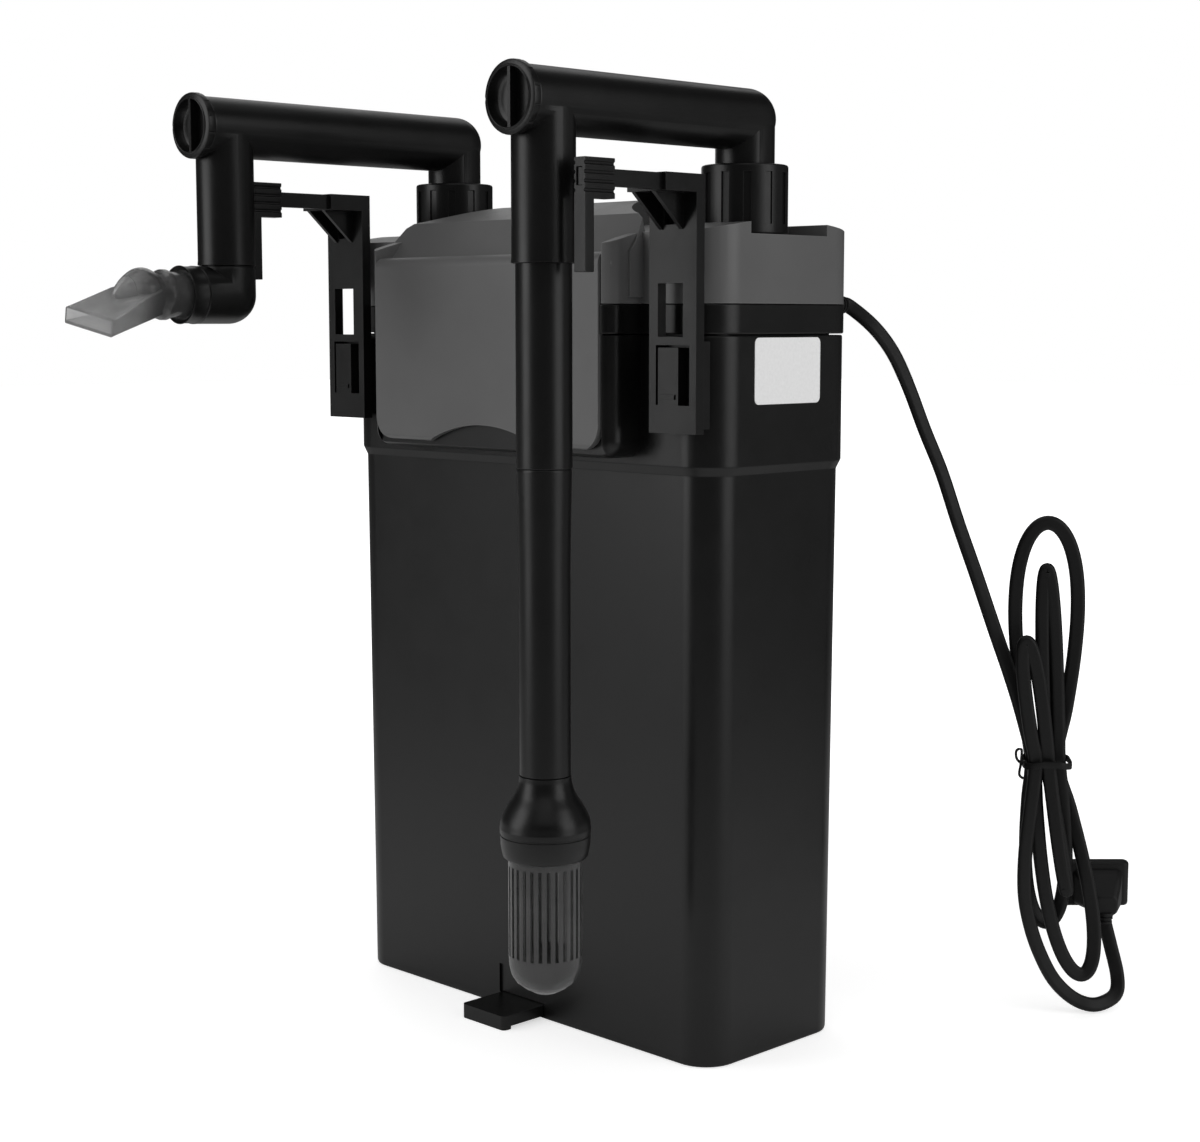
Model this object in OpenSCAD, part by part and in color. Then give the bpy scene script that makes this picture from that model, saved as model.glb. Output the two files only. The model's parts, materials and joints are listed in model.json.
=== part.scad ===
// Hang-on canister filter: a tall barrel with a clamped motor head, two pipes that reach over the
// tank wall, two adjustable hangers, a slotted intake strainer and a flat return nozzle.
// Frame: +Z up, origin at the middle of the barrel's underside, tank side at -Y, outlet at -X.

/* [Barrel] */
// Width of the barrel
body_w = 243; // [225:1:260]
// Depth of the barrel
body_d = 94; // [90:1:110]
// Height of the step where the wide collar begins
ledge_z = 268; // [240:1:268]
// Wall thickness of the barrel
wall = 3; // [2.5:0.5:3.5]
// Radius of the barrel's upright corners
corner_r = 16; // [12:1:20]

/* [Head] */
// Height of the black rim under the cover
rim_h = 13; // [12:0.5:13]
// Top of the cover's crowned shoulder
shoulder_top = 374.5; // [373:0.5:376]
// Top of the raised middle of the cover
dome_top = 386; // [383:0.5:388]
// Distance of each pipe socket from the middle
socket_x = 98; // [97:0.5:98.5]

/* [Pipes] */
// Outside diameter of the level pipes
level_od = 27.2; // [27:0.1:27.4]
// Outside diameter of the upright pipes
upright_od = 26.4; // [26:0.1:26.5]
// Height of the level pipes' axis
pipe_z = 419; // [418.5:0.5:422]
// Reach of the intake pipe over the tank wall
intake_reach = 122.5; // [122:0.5:123.5]
// Reach of the outlet pipe over the tank wall
outlet_reach = 140; // [139:0.5:142]
// Lowest point of the intake strainer
strainer_bottom = 48.6; // [40:0.1:60]

/* [Hangers] */
// Width of a hanger plate
plate_w = 27.3; // [27:0.1:27.6]
// Distance of each hanger from the middle
hanger_x = 111.2; // [111:0.1:111.4]
// Height of a hanger's top face
hanger_top = 391.5; // [391:0.5:392]

/* [Latches] */
// Width of the two latch flaps
latch_w = 152; // [130:1:152]
// Thickness of the latch flaps
latch_t = 3.5; // [3:0.1:3.5]

/* [Hidden] */
$fn = 96;
arc_steps = 8;
eps = 0.5;

black_plastic = "#1c1c1d";
grey_plastic = "#58595b";
smoke_plastic = [0.45, 0.46, 0.47, 0.6];
dark_smoke = [0.12, 0.12, 0.13, 0.8];
rubber_black = "#101010";
steel_grey = "#9aa0a4";
sponge_blue = "#2f6f9f";
floss_white = "#e9ebe6";
ceramic_cream = "#ddd3bd";

// Barrel and collar
collar_top = 325;
floor_t = 4;
collar_w = body_w + 5;
collar_d = body_d + 4.5;
collar_r = corner_r + 2;
cavity_w = body_w - 2 * wall;
cavity_d = body_d - 2 * wall;
cavity_r = corner_r - wall;
block_w = 164;
block_d = 139;
block_r = 8;
block_z = 271;
block_hollow_y = 50;
block_hollow_d = 9;

// Head
rim_z = collar_top;
rim_top = rim_z + rim_h;
rim_w = collar_w + 1;
rim_d = collar_d + 1;
rim_r = collar_r + 0.5;
head_block_w = block_w + 1;
head_block_d = block_d;
rim_floor_t = 3;
skirt_gap = 0.3;
skirt_z = 312;
skirt_t = 3;
cover_t = 3;
crown_drop = 5.5;
dome_half_d = 45;
dome_drop = 8.5;
dome_foot = 13;
dome_half_w = 70;
dome_slope_w = 14;
scoop_r = 50;
socket_floor_z = 368;
nut_r = 19.3;
nut_gap = 1.6;
nut_top = 399;
screw_x = 62;
screw_y = 36;

// Pump
pump_x = -20;
chamber_r = 28;
chamber_z = 308;
well_r = 14;
well_bore_r = 12.2;
well_top = 362;
shaft_r = 1.5;
magnet_r = 11;
impeller_r = 21;
riser_r = 12;
riser_flange = [361, 364.8];
spigot_z = 370;
spigot_top = 392;
riser_bore_r = 8;

// Pipes
level_bore_r = level_od / 2 - 2;
upright_bore_r = upright_od / 2 - 1.5;
spigot_r = upright_bore_r - 0.3;
pipe_foot_z = 372;
pipe_end = 14;
cap_r = 14.9;
cap_t = 5.5;
intake_leg_z = 353.8;
mid_tube_z = 270.6;
mid_tube_r = upright_bore_r - 0.1;
mid_tube_top = 386;
low_tube_z = 142.5;
low_tube_r = 10.7;
low_tube_top_r = 11.4;
strainer_seam_z = 107.8;
outlet_leg_z = 356;
elbow_z = 342.5;
elbow_reach = 18;
ring_len = 8.5;
ring_r = 13.3;
ring_lip = 1.5;
neck_flange_t = 3.3;
intake_y = -intake_reach;
outlet_y = -outlet_reach;
elbow_end_y = outlet_y - elbow_reach;
nozzle_tip_y = -214;

// Hangers
hanger_front = -60.3;
hanger_t = 5;
hanger_bottom = 283;
arm_h = 7.5;
rail_arm_y = -79;
rail_end_y = -124;
hook_y = -124.8;
hook_len = 17;
hook_left = 6.8;
hook_w = 6.3;
rail_arm = [8.3, 11.3];

// Latches
hinge_y = 65;
hinge_z = 355.5;
knuckle_r = 5;
pin_r = 1.5;
latch_bottom = 274.5;
latch_out = 70;
recess_y = 66;
recess_w = latch_w + 1.6;
catch_z = 303;
catch_w = 37;

// Baskets
basket_w = cavity_w - 41;
basket_d = cavity_d - 2;
basket_x = -18;

// Strainer
cage_r = 15.8;
cage_wall_r = 13.9;
cage_slots = 28;

// Mains lead. The spare lead is coiled in an upright plane that runs away from the head's rear
// corner. A point in it is [distance along the plane, height, distance out of the plane].
cable_exit = [108, 50, rim_top];
cable_r = 2.8;
lead_turn = 45.2;
lead_origin = [104.8, 64.2];
tie_u = 98;
tie_z = 122;
strand_gap = [6, 5.5];
loop_steps = 12;
plug_at = [127.5, 57, 16];
blade_gap = 12.7;

// ---------------------------------------------------------------- helpers

function arc(cx, cy, r, a0) =
    [for (i = [0:arc_steps]) let (a = a0 + 90 * i / arc_steps) [cx + r * cos(a), cy + r * sin(a)]];

function round_rect(w, d, r) = concat(
    arc(w / 2 - r, d / 2 - r, r, 0), arc(-w / 2 + r, d / 2 - r, r, 90),
    arc(-w / 2 + r, -d / 2 + r, r, 180), arc(w / 2 - r, -d / 2 + r, r, 270));

module up(z) { translate([0, 0, z]) children(); }

// Upright slab with rounded corners, centred on the Z axis
module slab(w, d, r, z0, z1) {
    up(z0) linear_extrude(z1 - z0) polygon(round_rect(w, d, r));
}

// Box given by its lowest and highest corners
module box(low, high) {
    translate(low) cube(high - low);
}

// Round bar along Z, X or Y
module bar_z(x, y, r, z0, z1) { translate([x, y, z0]) cylinder(h = z1 - z0, r = r); }
module bar_x(y, z, r, x0, x1) { translate([x0, y, z]) rotate([0, 90, 0]) cylinder(h = x1 - x0, r = r); }
module bar_y(x, z, r, y0, y1) { translate([x, y0, z]) rotate([-90, 0, 0]) cylinder(h = y1 - y0, r = r); }

// A copy on the tank side and a copy on the far side
module both_sides() { for (s = [0, 180]) rotate(s) children(); }

// A copy on the outlet side and a copy on the intake side
module at_both_sockets() { for (s = [-1, 1]) translate([s * socket_x, 0, 0]) children(); }

// ---------------------------------------------------------------- barrel

module hanger_rail(x) {
    // T-shaped rail that a hanger's jaws slide on
    box([x - 4, -body_d / 2 + 2, 285], [x + 4, -52.2, 322]);
    box([x - 8, -54.6, 285], [x + 8, -52.2, 322]);
}

module barrel() {
    color(black_plastic)
    difference() {
        union() {
            difference() {
                union() {
                    slab(body_w, body_d, corner_r, 0, ledge_z);
                    slab(collar_w, collar_d, collar_r, ledge_z, collar_top);
                    slab(block_w, block_d, block_r, block_z, collar_top);
                    hanger_rail(-hanger_x);
                    hanger_rail(hanger_x);
                }
                slab(cavity_w, cavity_d, cavity_r, floor_t, collar_top + eps);
            }
            // Housing of the spacer foot inside the barrel floor
            box([-18, -body_d / 2 + 1, 1], [18, 4, 9.6]);
        }
        // Slot of the spacer foot, and the finger recess above it
        box([-15.3, -body_d / 2 - eps, 1.4], [15.3, 1, 7]);
        box([-16, -body_d / 2 - eps, 7], [16, -body_d / 2 + 1.5, 21]);
        both_sides() {
            // Recess for the latch flap, the pocket its catch hooks into, and the hollow behind
            box([-recess_w / 2, -block_d / 2 - eps, block_z - eps],
                [recess_w / 2, -recess_y, collar_top + eps]);
            box([-catch_w / 2 - 1.5, -recess_y - eps, 297], [catch_w / 2 + 1.5, -61.7, catch_z + 0.2]);
            box([-74, -block_hollow_y - block_hollow_d, block_z + 3],
                [74, -block_hollow_y, collar_top + eps]);
        }
    }
}

module rating_plate() {
    // Blank rating plate on the narrow side of the collar
    color("#e8e8e6")
    translate([collar_w / 2, 0, 309]) rotate([90, 0, 90])
        linear_extrude(0.4) polygon(round_rect(44, 29, 3));
}

module spacer_foot() {
    // Drawer foot that holds the barrel upright against the tank wall
    color(black_plastic) {
        box([-15, -71.5, 1.6], [15, -25, 6.8]);
        box([-15, -71.5, 0.1], [15, -66, 6.8]);
    }
}

// ---------------------------------------------------------------- head

module riser(x, z0) {
    bar_z(x, 0, riser_r, z0, spigot_z);
    bar_z(x, 0, riser_r + 3, riser_flange[0], riser_flange[1]);
    bar_z(x, 0, spigot_r, spigot_z, spigot_top);
}

module head_base() {
    color(black_plastic)
    difference() {
        union() {
            difference() {
                union() {
                    slab(rim_w, rim_d, rim_r, rim_z, rim_top);
                    slab(head_block_w, head_block_d, block_r, rim_z, rim_top);
                }
                slab(rim_w - 8, rim_d - 8, rim_r - 4, rim_z + rim_floor_t, rim_top + eps);
            }
            // Skirt that carries the main seal down into the barrel
            difference() {
                slab(cavity_w - 2 * skirt_gap, cavity_d - 2 * skirt_gap, cavity_r - skirt_gap,
                    skirt_z, rim_z + 1);
                slab(cavity_w - 2 * skirt_t, cavity_d - 2 * skirt_t, cavity_r - skirt_t,
                    skirt_z - eps, rim_z);
            }
            bar_z(pump_x, 0, chamber_r, chamber_z, rim_z + 1);
            bar_z(pump_x, 0, well_r, rim_z + 1, well_top);
            bar_x(0, 317.5, 8, -socket_x, pump_x);
            riser(-socket_x, chamber_z);
            riser(socket_x, 300);
        }
        // Seal groove
        difference() {
            slab(cavity_w + 4, cavity_d + 4, cavity_r, 316.8, 321.2);
            slab(cavity_w - 4.6, cavity_d - 4.6, cavity_r - 2.3, 316.8 - eps, 321.2 + eps);
        }
        // Pump chamber, rotor well and the duct to the outlet riser
        bar_z(pump_x, 0, chamber_r - 3, chamber_z - eps, rim_z);
        bar_z(pump_x, 0, well_bore_r, rim_z - eps, well_top - 2);
        bar_x(0, 317.5, 6, -socket_x, pump_x - chamber_r + 5);
        bar_z(-socket_x, 0, riser_bore_r, chamber_z + 3, spigot_top + eps);
        bar_z(socket_x, 0, riser_bore_r, 300 - eps, spigot_top + eps);
        bar_z(socket_x, 0, 9.1, 300 - eps, 312);
        // O-ring grooves in the spigots
        for (x = [-socket_x, socket_x])
            difference() {
                bar_z(x, 0, spigot_r + 1, 383.5, 386.5);
                bar_z(x, 0, spigot_r - 1.6, 383, 387);
            }
        both_sides()
            box([-recess_w / 2, -head_block_d, rim_z - eps], [recess_w / 2, -recess_y, rim_top + eps]);
        for (x = [-screw_x, screw_x], y = [-screw_y, screw_y])
            bar_z(x, y, 1.8, rim_z - eps, rim_z + rim_floor_t + eps);
        // Cable entry
        bar_y(108, rim_top, 4.1, 30, 60);
    }
}

function crown(y, top, half) = top - crown_drop * pow(y / half, 2);
function dome(y, top) = top - dome_drop * pow(y / dome_half_d, 2);

// Cross-section of the shoulders, as a crown over the depth
function shoulder_section(half, top) = concat(
    [[-half, 0]],
    [for (i = [-10:10]) [half * i / 10, crown(half * i / 10, top, rim_d / 2)]],
    [[half, 0]]);

// Cross-section of the raised middle, with sloping front and back faces
function dome_section(half, top) = concat(
    [[-half - dome_foot, 0], [-half - dome_foot, 357], [-half - dome_foot, 361]],
    [for (i = [-8:8]) [half * i / 8, dome(half * i / 8, top)]],
    [[half + dome_foot, 361], [half + dome_foot, 357], [half + dome_foot, 0]]);

// Solid whose X-wise section is the given polygon, from x0 to x1
module along_x(points, x0, x1) {
    translate([x0, 0, 0]) rotate([90, 0, 90]) linear_extrude(x1 - x0) polygon(points);
}

// Solid form of the cover, drawn in by inset on every side
module cover_form(inset) {
    intersection() {
        union() {
            slab(rim_w - 2 * inset, rim_d - 2 * inset, rim_r - inset, rim_top, 400);
            slab(head_block_w - 2 * inset, head_block_d - 2 * inset, block_r - inset, rim_top, 400);
        }
        along_x(shoulder_section(head_block_d / 2 + 2, shoulder_top - inset), -rim_w, rim_w);
    }
    difference() {
        intersection() {
            slab(2 * (dome_half_w + dome_slope_w - inset), head_block_d - 2 * inset, 4, rim_top, 400);
            along_x(dome_section(dome_half_d - inset / 2, dome_top - inset), -rim_w, rim_w);
            translate([0, head_block_d, 0]) rotate([90, 0, 0]) linear_extrude(2 * head_block_d)
                polygon([
                    [-dome_half_w - dome_slope_w, 0], [-dome_half_w - dome_slope_w, 366 - inset],
                    [-dome_half_w, 400], [dome_half_w, 400],
                    [dome_half_w + dome_slope_w, 366 - inset], [dome_half_w + dome_slope_w, 0]]);
        }
        at_both_sockets() bar_z(0, 0, scoop_r + inset, 360, 410);
    }
}

module latch_lugs_cut() {
    // Channel round the latch knuckle, open to the front
    bar_x(-hinge_y, hinge_z, knuckle_r + 0.6, -recess_w / 2, recess_w / 2);
    box([-recess_w / 2, -head_block_d, rim_top - eps], [recess_w / 2, -hinge_y, hinge_z + 20]);
    bar_x(-hinge_y, hinge_z, pin_r + 0.05, -latch_w / 2 - 4.6, latch_w / 2 + 4.6);
}

module head_cover() {
    color(grey_plastic)
    difference() {
        union() {
            difference() {
                cover_form(0);
                difference() {
                    cover_form(cover_t);
                    // Backing of the latch channels
                    both_sides() box([-90, -head_block_d, 300], [90, -56.5, 400]);
                }
            }
            intersection() {
                cover_form(0);
                union() {
                    at_both_sockets() bar_z(0, 0, nut_r + 3.7, socket_floor_z - 3, 400);
                    for (s = [-1, 1]) box([s * 111 - 12, -28, 365], [s * 111 + 12, 28, 400]);
                }
            }
            intersection() {
                union() {
                    cover_form(0);
                    slab(rim_w - 20, rim_d - 20, 8, rim_z + rim_floor_t, rim_top + 1);
                }
                for (x = [-screw_x, screw_x], y = [-screw_y, screw_y])
                    bar_z(x, y, 4, rim_z + rim_floor_t, 400);
            }
        }
        at_both_sockets() {
            bar_z(0, 0, nut_r + nut_gap, socket_floor_z, 400);
            bar_z(0, 0, riser_r + 0.4, 350, 400);
        }
        for (s = [-1, 1]) box([s * 120 - 18, -25.5, socket_floor_z], [s * 120 + 18, 25.5, 400]);
        both_sides() latch_lugs_cut();
        for (x = [-screw_x, screw_x], y = [-screw_y, screw_y])
            bar_z(x, y, 1.4, rim_z, 350);
        bar_y(108, rim_top, 4.1, 30, 60);
    }
}

module cover_screws() {
    // Four screws driven up through the base into the cover's bosses
    color(steel_grey)
    for (x = [-screw_x, screw_x], y = [-screw_y, screw_y]) {
        bar_z(x, y, 1.35, rim_z, 345);
        bar_z(x, y, 3, rim_z - 2.2, rim_z);
    }
}

module main_seal() {
    color(rubber_black)
    difference() {
        slab(cavity_w - 0.1, cavity_d - 0.1, cavity_r - 0.05, 317, 321);
        slab(cavity_w - 4.4, cavity_d - 4.4, cavity_r - 2.2, 316, 322);
    }
}

// ---------------------------------------------------------------- latches

module latch() {
    // Flap with a knuckle along its top edge, a catch inside and a finger arch below
    difference() {
        union() {
            bar_x(-hinge_y, hinge_z, knuckle_r, -latch_w / 2, latch_w / 2);
            box([-latch_w / 2, -latch_out, latch_bottom], [latch_w / 2, -latch_out + latch_t, hinge_z]);
            box([-catch_w / 2, -latch_out + latch_t - eps, 299.5], [catch_w / 2, -62.2, catch_z - 0.1]);
        }
        bar_x(-hinge_y, hinge_z, pin_r + 0.1, -latch_w, latch_w);
        bar_y(0, latch_bottom + 8.6 - 88, 88, -80, -60);
        // Rounded lower corners
        for (s = [-1, 1])
            difference() {
                box([s * (latch_w / 2 - 5) - 5, -80, latch_bottom - 1],
                    [s * (latch_w / 2 - 5) + 5, -60, latch_bottom + 10]);
                bar_y(s * (latch_w / 2 - 10), latch_bottom + 10, 10, -81, -59);
            }
    }
}

module front_latch() { color(grey_plastic) latch(); }
module rear_latch() { color(grey_plastic) rotate(180) latch(); }

module latch_pins() {
    color(steel_grey) both_sides() bar_x(-hinge_y, hinge_z, pin_r, -latch_w / 2 - 4.4, latch_w / 2 + 4.4);
}

// ---------------------------------------------------------------- pump

module stator_core() {
    color(steel_grey)
    translate([pump_x, 0, 338]) linear_extrude(14)
    difference() {
        union() {
            translate([-19, -20]) square([38, 40]);
            translate([10, -20]) square([44, 10]);
            translate([10, 10]) square([44, 10]);
            translate([44, -20]) square([10, 40]);
        }
        circle(r = well_r + 0.3);
    }
}

module stator_coil() {
    color("#7d2f1c")
    difference() {
        box([pump_x + 39, -9.6, 332], [pump_x + 59, 9.6, 358]);
        box([pump_x + 43.8, -10, 337.8], [pump_x + 54.2, 10, 352.2]);
    }
}

module rotor_magnet() {
    color("#2b2b2e")
    difference() {
        bar_z(pump_x, 0, magnet_r, 330, 356);
        bar_z(pump_x, 0, shaft_r + 0.05, 329, 357);
    }
}

module impeller() {
    color("#d9d9d4")
    difference() {
        union() {
            bar_z(pump_x, 0, 5, 314, 330);
            bar_z(pump_x, 0, impeller_r, 322, 323.6);
            for (a = [0:60:300])
                translate([pump_x, 0, 0]) rotate(a) box([3, -0.9, 314], [impeller_r, 0.9, 322.5]);
        }
        bar_z(pump_x, 0, shaft_r + 0.05, 313, 331);
    }
}

module rotor_shaft() { color("#f1efe8") bar_z(pump_x, 0, shaft_r, 310.5, 359); }

module shaft_bushes() {
    // Rubber cups that hold the ends of the ceramic shaft
    color(rubber_black) {
        difference() {
            bar_z(pump_x, 0, 4, 357, 360);
            bar_z(pump_x, 0, shaft_r, 356, 359);
        }
        difference() {
            bar_z(pump_x, 0, 4, 309.5, 312.5);
            bar_z(pump_x, 0, shaft_r, 310.5, 313);
        }
    }
}

module impeller_cover() {
    color(black_plastic)
    difference() {
        union() {
            bar_z(pump_x, 0, chamber_r, 304.5, 307.8);
            bar_z(pump_x, 0, chamber_r - 3.3, 307, 311);
        }
        difference() {
            bar_z(pump_x, 0, 12, 304, 312);
            bar_z(pump_x, 0, 5.5, 303, 313);
            for (a = [0, 60, 120])
                translate([pump_x, 0, 0]) rotate(a) box([-13, -1.2, 303], [13, 1.2, 313]);
        }
        bar_z(pump_x, 0, 4, 309.5, 312);
    }
}

module inlet_drop_tube() {
    // Carries dirty water from the intake socket to the floor of the barrel
    color(black_plastic)
    difference() {
        bar_z(socket_x, 0, 9, 14, 311.8);
        bar_z(socket_x, 0, 7.4, 13, 313);
        for (a = [0, 90]) translate([socket_x, 0, 0]) rotate(a) box([-12, -3, 13], [12, 3, 24]);
    }
}

// ---------------------------------------------------------------- baskets and media

module basket(z0, z1) {
    color(black_plastic)
    translate([basket_x, 0, 0])
    difference() {
        slab(basket_w, basket_d, 8, z0, z1);
        slab(basket_w - 4, basket_d - 4, 6, z0 + 2.5, z1 + eps);
        for (x = [-80:20:80], y = [-28, 0, 28]) box([x - 7, y - 10, z0 - eps], [x + 7, y + 10, z0 + 3]);
    }
}

module basket_lower() { basket(12, 106); }
module basket_middle() { basket(106.5, 204); }
module basket_upper() { basket(204.5, 300); }

module media_block(tone, z0, z1) {
    color(tone) translate([basket_x, 0, 0]) slab(basket_w - 5, basket_d - 5, 5.5, z0, z1);
}

module coarse_sponge() { media_block(sponge_blue, 14.8, 100); }
module polishing_pad() { media_block(floss_white, 207.3, 260); }

module ceramic_media() {
    // Short hollow rings standing in rows
    color(ceramic_cream)
    for (x = [-84:21:84], y = [-30, -10, 10, 30], z = [110, 138])
        translate([basket_x + x, y, z])
        difference() {
            cylinder(h = 26, r = 8.5);
            up(-1) cylinder(h = 28, r = 4);
        }
}

// ---------------------------------------------------------------- over-the-wall pipes

module union_nut() {
    // Ribbed nut that clamps a pipe on its socket
    difference() {
        bar_z(0, 0, nut_r, socket_floor_z + 0.4, nut_top);
        bar_z(0, 0, upright_od / 2 + 0.3, socket_floor_z, nut_top + 1);
        for (a = [15:30:345])
            rotate(a) box([nut_r - 0.9, -1.6, socket_floor_z + 5], [nut_r + 2, 1.6, nut_top - 3]);
    }
}

module intake_union_nut() { color(black_plastic) translate([socket_x, 0, 0]) union_nut(); }
module outlet_union_nut() { color(black_plastic) translate([-socket_x, 0, 0]) union_nut(); }

module pipe_orings() {
    color(rubber_black)
    at_both_sockets() up(385) rotate_extrude() translate([spigot_r - 0.7, 0]) circle(r = 0.8, $fn = 24);
}

// Riser, level pipe and down leg in one moulding, standing at x = 0
module over_pipe(reach, leg_z) {
    difference() {
        union() {
            bar_z(0, 0, upright_od / 2, pipe_foot_z, pipe_z);
            up(pipe_z) sphere(r = level_od / 2 + 0.1);
            bar_y(0, pipe_z, level_od / 2, -reach - pipe_end, 0);
            bar_z(0, -reach, upright_od / 2, leg_z, pipe_z);
        }
        bar_z(0, 0, upright_bore_r, pipe_foot_z - 1, pipe_z);
        up(pipe_z) sphere(r = level_bore_r + 0.1);
        bar_y(0, pipe_z, level_bore_r, -reach - pipe_end - 1, 0);
        bar_z(0, -reach, upright_bore_r, leg_z - 1, pipe_z);
    }
}

module intake_pipe() {
    color(black_plastic) translate([socket_x, 0, 0]) over_pipe(intake_reach, intake_leg_z);
}

module outlet_pipe() {
    color(black_plastic) translate([-socket_x, 0, 0]) over_pipe(outlet_reach, outlet_leg_z);
}

module pipe_cap(reach) {
    // Bayonet cap with a grip rib across a dished face
    translate([0, -reach - pipe_end, pipe_z])
    difference() {
        union() {
            bar_y(0, 0, cap_r, -cap_t, 0);
            bar_y(0, 0, level_bore_r - 0.2, -1, 8);
        }
        difference() {
            bar_y(0, 0, 11.8, -cap_t - 1, -1.5);
            box([-1.5, -cap_t - 2, -20], [1.5, 0, 20]);
        }
        bar_y(0, 0, level_bore_r - 2, 1.5, 9);
        bar_y(-cap_r, 0, 1, -cap_t - 1, -cap_t + 2);
    }
}

module intake_cap() { color(black_plastic) translate([socket_x, 0, 0]) pipe_cap(intake_reach); }
module outlet_cap() { color(black_plastic) translate([-socket_x, 0, 0]) pipe_cap(outlet_reach); }

// Round part standing on the axis of the intake's down leg
module on_intake_leg() { translate([socket_x, intake_y, 0]) children(); }

module intake_mid_tube() {
    color(black_plastic) on_intake_leg()
    difference() {
        bar_z(0, 0, mid_tube_r, mid_tube_z, mid_tube_top);
        bar_z(0, 0, mid_tube_r - 1.6, mid_tube_z - 1, mid_tube_top + 1);
    }
}

module intake_low_tube() {
    color(black_plastic) on_intake_leg()
    difference() {
        union() {
            bar_z(0, 0, low_tube_r, low_tube_z, mid_tube_z);
            up(mid_tube_z - 40) cylinder(h = 40, r1 = low_tube_r, r2 = low_tube_top_r);
            bar_z(0, 0, mid_tube_r - 1.7, mid_tube_z - 1, mid_tube_z + 16);
            bar_z(0, 0, low_tube_r - 1.2, low_tube_z - 13, low_tube_z + 1);
        }
        bar_z(0, 0, low_tube_r - 2.6, low_tube_z - 14, mid_tube_z + 17);
    }
}

module strainer_neck() {
    // Bulb that grips the tube and carries the cage
    color(black_plastic) on_intake_leg()
    rotate_extrude() polygon([
        [low_tube_r - 1.1, low_tube_z], [low_tube_r + 0.1, low_tube_z], [low_tube_r + 0.6, 139],
        [13.2, 134.5],
        [16.6, 130], [18.2, 124.5], [18.3, 118.4], [17.6, 114], [16.8, 111], [16.8, strainer_seam_z],
        [15.2, strainer_seam_z], [15.2, 117], [13, 124], [low_tube_r - 1.1, 129.2]]);
}

module strainer_cage() {
    // Slotted basket with a domed floor
    dome_h = 11;
    dome_z = strainer_bottom + dome_h;
    color(dark_smoke) on_intake_leg()
    difference() {
        rotate_extrude() polygon(concat(
            [[cage_wall_r, strainer_seam_z + 6]],
            [for (i = [0:7]) let (a = 90 * i / 8) [cage_wall_r * cos(a), dome_z - (dome_h - 1.6) * sin(a)]],
            [[0, dome_z - dome_h + 1.6], [0, dome_z - dome_h]],
            [for (i = [7:-1:0]) let (a = 90 * i / 8) [cage_r * cos(a), dome_z - dome_h * sin(a)]],
            [[cage_r, strainer_seam_z - 0.2], [15, strainer_seam_z - 0.2], [15, strainer_seam_z + 6]]
        ));
        for (i = [0:cage_slots - 1])
            rotate(360 * i / cage_slots) box([12, -0.8, dome_z + 4], [20, 0.8, strainer_seam_z - 3]);
    }
}

// Round part standing on the axis of the outlet's down leg
module on_outlet_leg() { translate([-socket_x, outlet_y, 0]) children(); }

module outlet_elbow() {
    color(black_plastic) on_outlet_leg()
    difference() {
        union() {
            bar_z(0, 0, upright_bore_r - 0.2, outlet_leg_z - 1, outlet_leg_z + 14);
            bar_z(0, 0, upright_od / 2, elbow_z, outlet_leg_z - 0.2);
            up(elbow_z) sphere(r = upright_od / 2 + 0.1);
            bar_y(0, elbow_z, upright_od / 2, -elbow_reach, 0);
            bar_y(0, elbow_z, 12.2, -elbow_reach - ring_len + ring_lip + neck_flange_t + 0.5, -elbow_reach);
        }
        bar_z(0, 0, 9.6, elbow_z, outlet_leg_z + 15);
        up(elbow_z) sphere(r = 9.7);
        bar_y(0, elbow_z, 9.6, -elbow_reach - ring_len, 0);
    }
}

module nozzle_ring() {
    // Ring that holds the nozzle's flange against the elbow
    color(black_plastic) translate([-socket_x, elbow_end_y, elbow_z])
    difference() {
        bar_y(0, 0, ring_r, -ring_len, -0.2);
        bar_y(0, 0, 12.4, -ring_len + ring_lip, eps);
        bar_y(0, 0, 11.5, -ring_len - 1, 0);
        for (a = [0:30:330]) rotate([0, a, 0]) box([ring_r - 0.4, -ring_len + 2, -1], [ring_r + 1, -2, 1]);
    }
}

// Mouth of the nozzle: a flat rectangle, turned a little and set below the neck
module mouth(w, h, y, drop, roll) {
    translate([-socket_x, y, elbow_z - drop]) rotate([0, roll, 0]) cube([w, 0.4, h], center = true);
}

module bill(inset) {
    hull() {
        mouth(39 - 2 * inset, 7.2 - 2 * inset, nozzle_tip_y + 0.2, 12, 10);
        mouth(30 - 2 * inset, 11 - 2 * inset, -193, 3.5, 10);
        translate([-socket_x, -184.5, elbow_z]) rotate([90, 0, 0])
            cylinder(h = 0.4, r = 10.6 - inset, $fn = 32);
    }
}

// Rounded bulb between the neck and the bill, drawn as [radius, distance towards the tank side]
module bulb(inset) {
    outline = [[10.1, 180], [11.5, 183], [12, 187], [11.2, 190.5], [9.3, 194], [6.9, 197], [4.4, 199.5]];
    translate([-socket_x, 0, elbow_z]) rotate([90, 0, 0]) rotate_extrude() polygon(concat(
        [[0, 180]], [for (p = outline) [p[0] - inset, p[1]]], [[0, 201.5 - inset]]));
}

module nozzle() {
    neck_y = elbow_end_y - ring_len + ring_lip + neck_flange_t + 0.3;
    color(smoke_plastic)
    difference() {
        union() {
            bar_y(-socket_x, elbow_z, 12.2, neck_y - neck_flange_t, neck_y);
            bar_y(-socket_x, elbow_z, 10.4, -185, neck_y);
            bar_y(-socket_x, elbow_z, 11.3, -177.5, -173.5);
            bulb(0);
            bill(0);
        }
        bar_y(-socket_x, elbow_z, 9, -184.8, neck_y + 1);
        bulb(1.4);
        bill(1.4);
        mouth(36.2, 4.4, nozzle_tip_y, 12.1, 10);
    }
}

// ---------------------------------------------------------------- hangers

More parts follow.
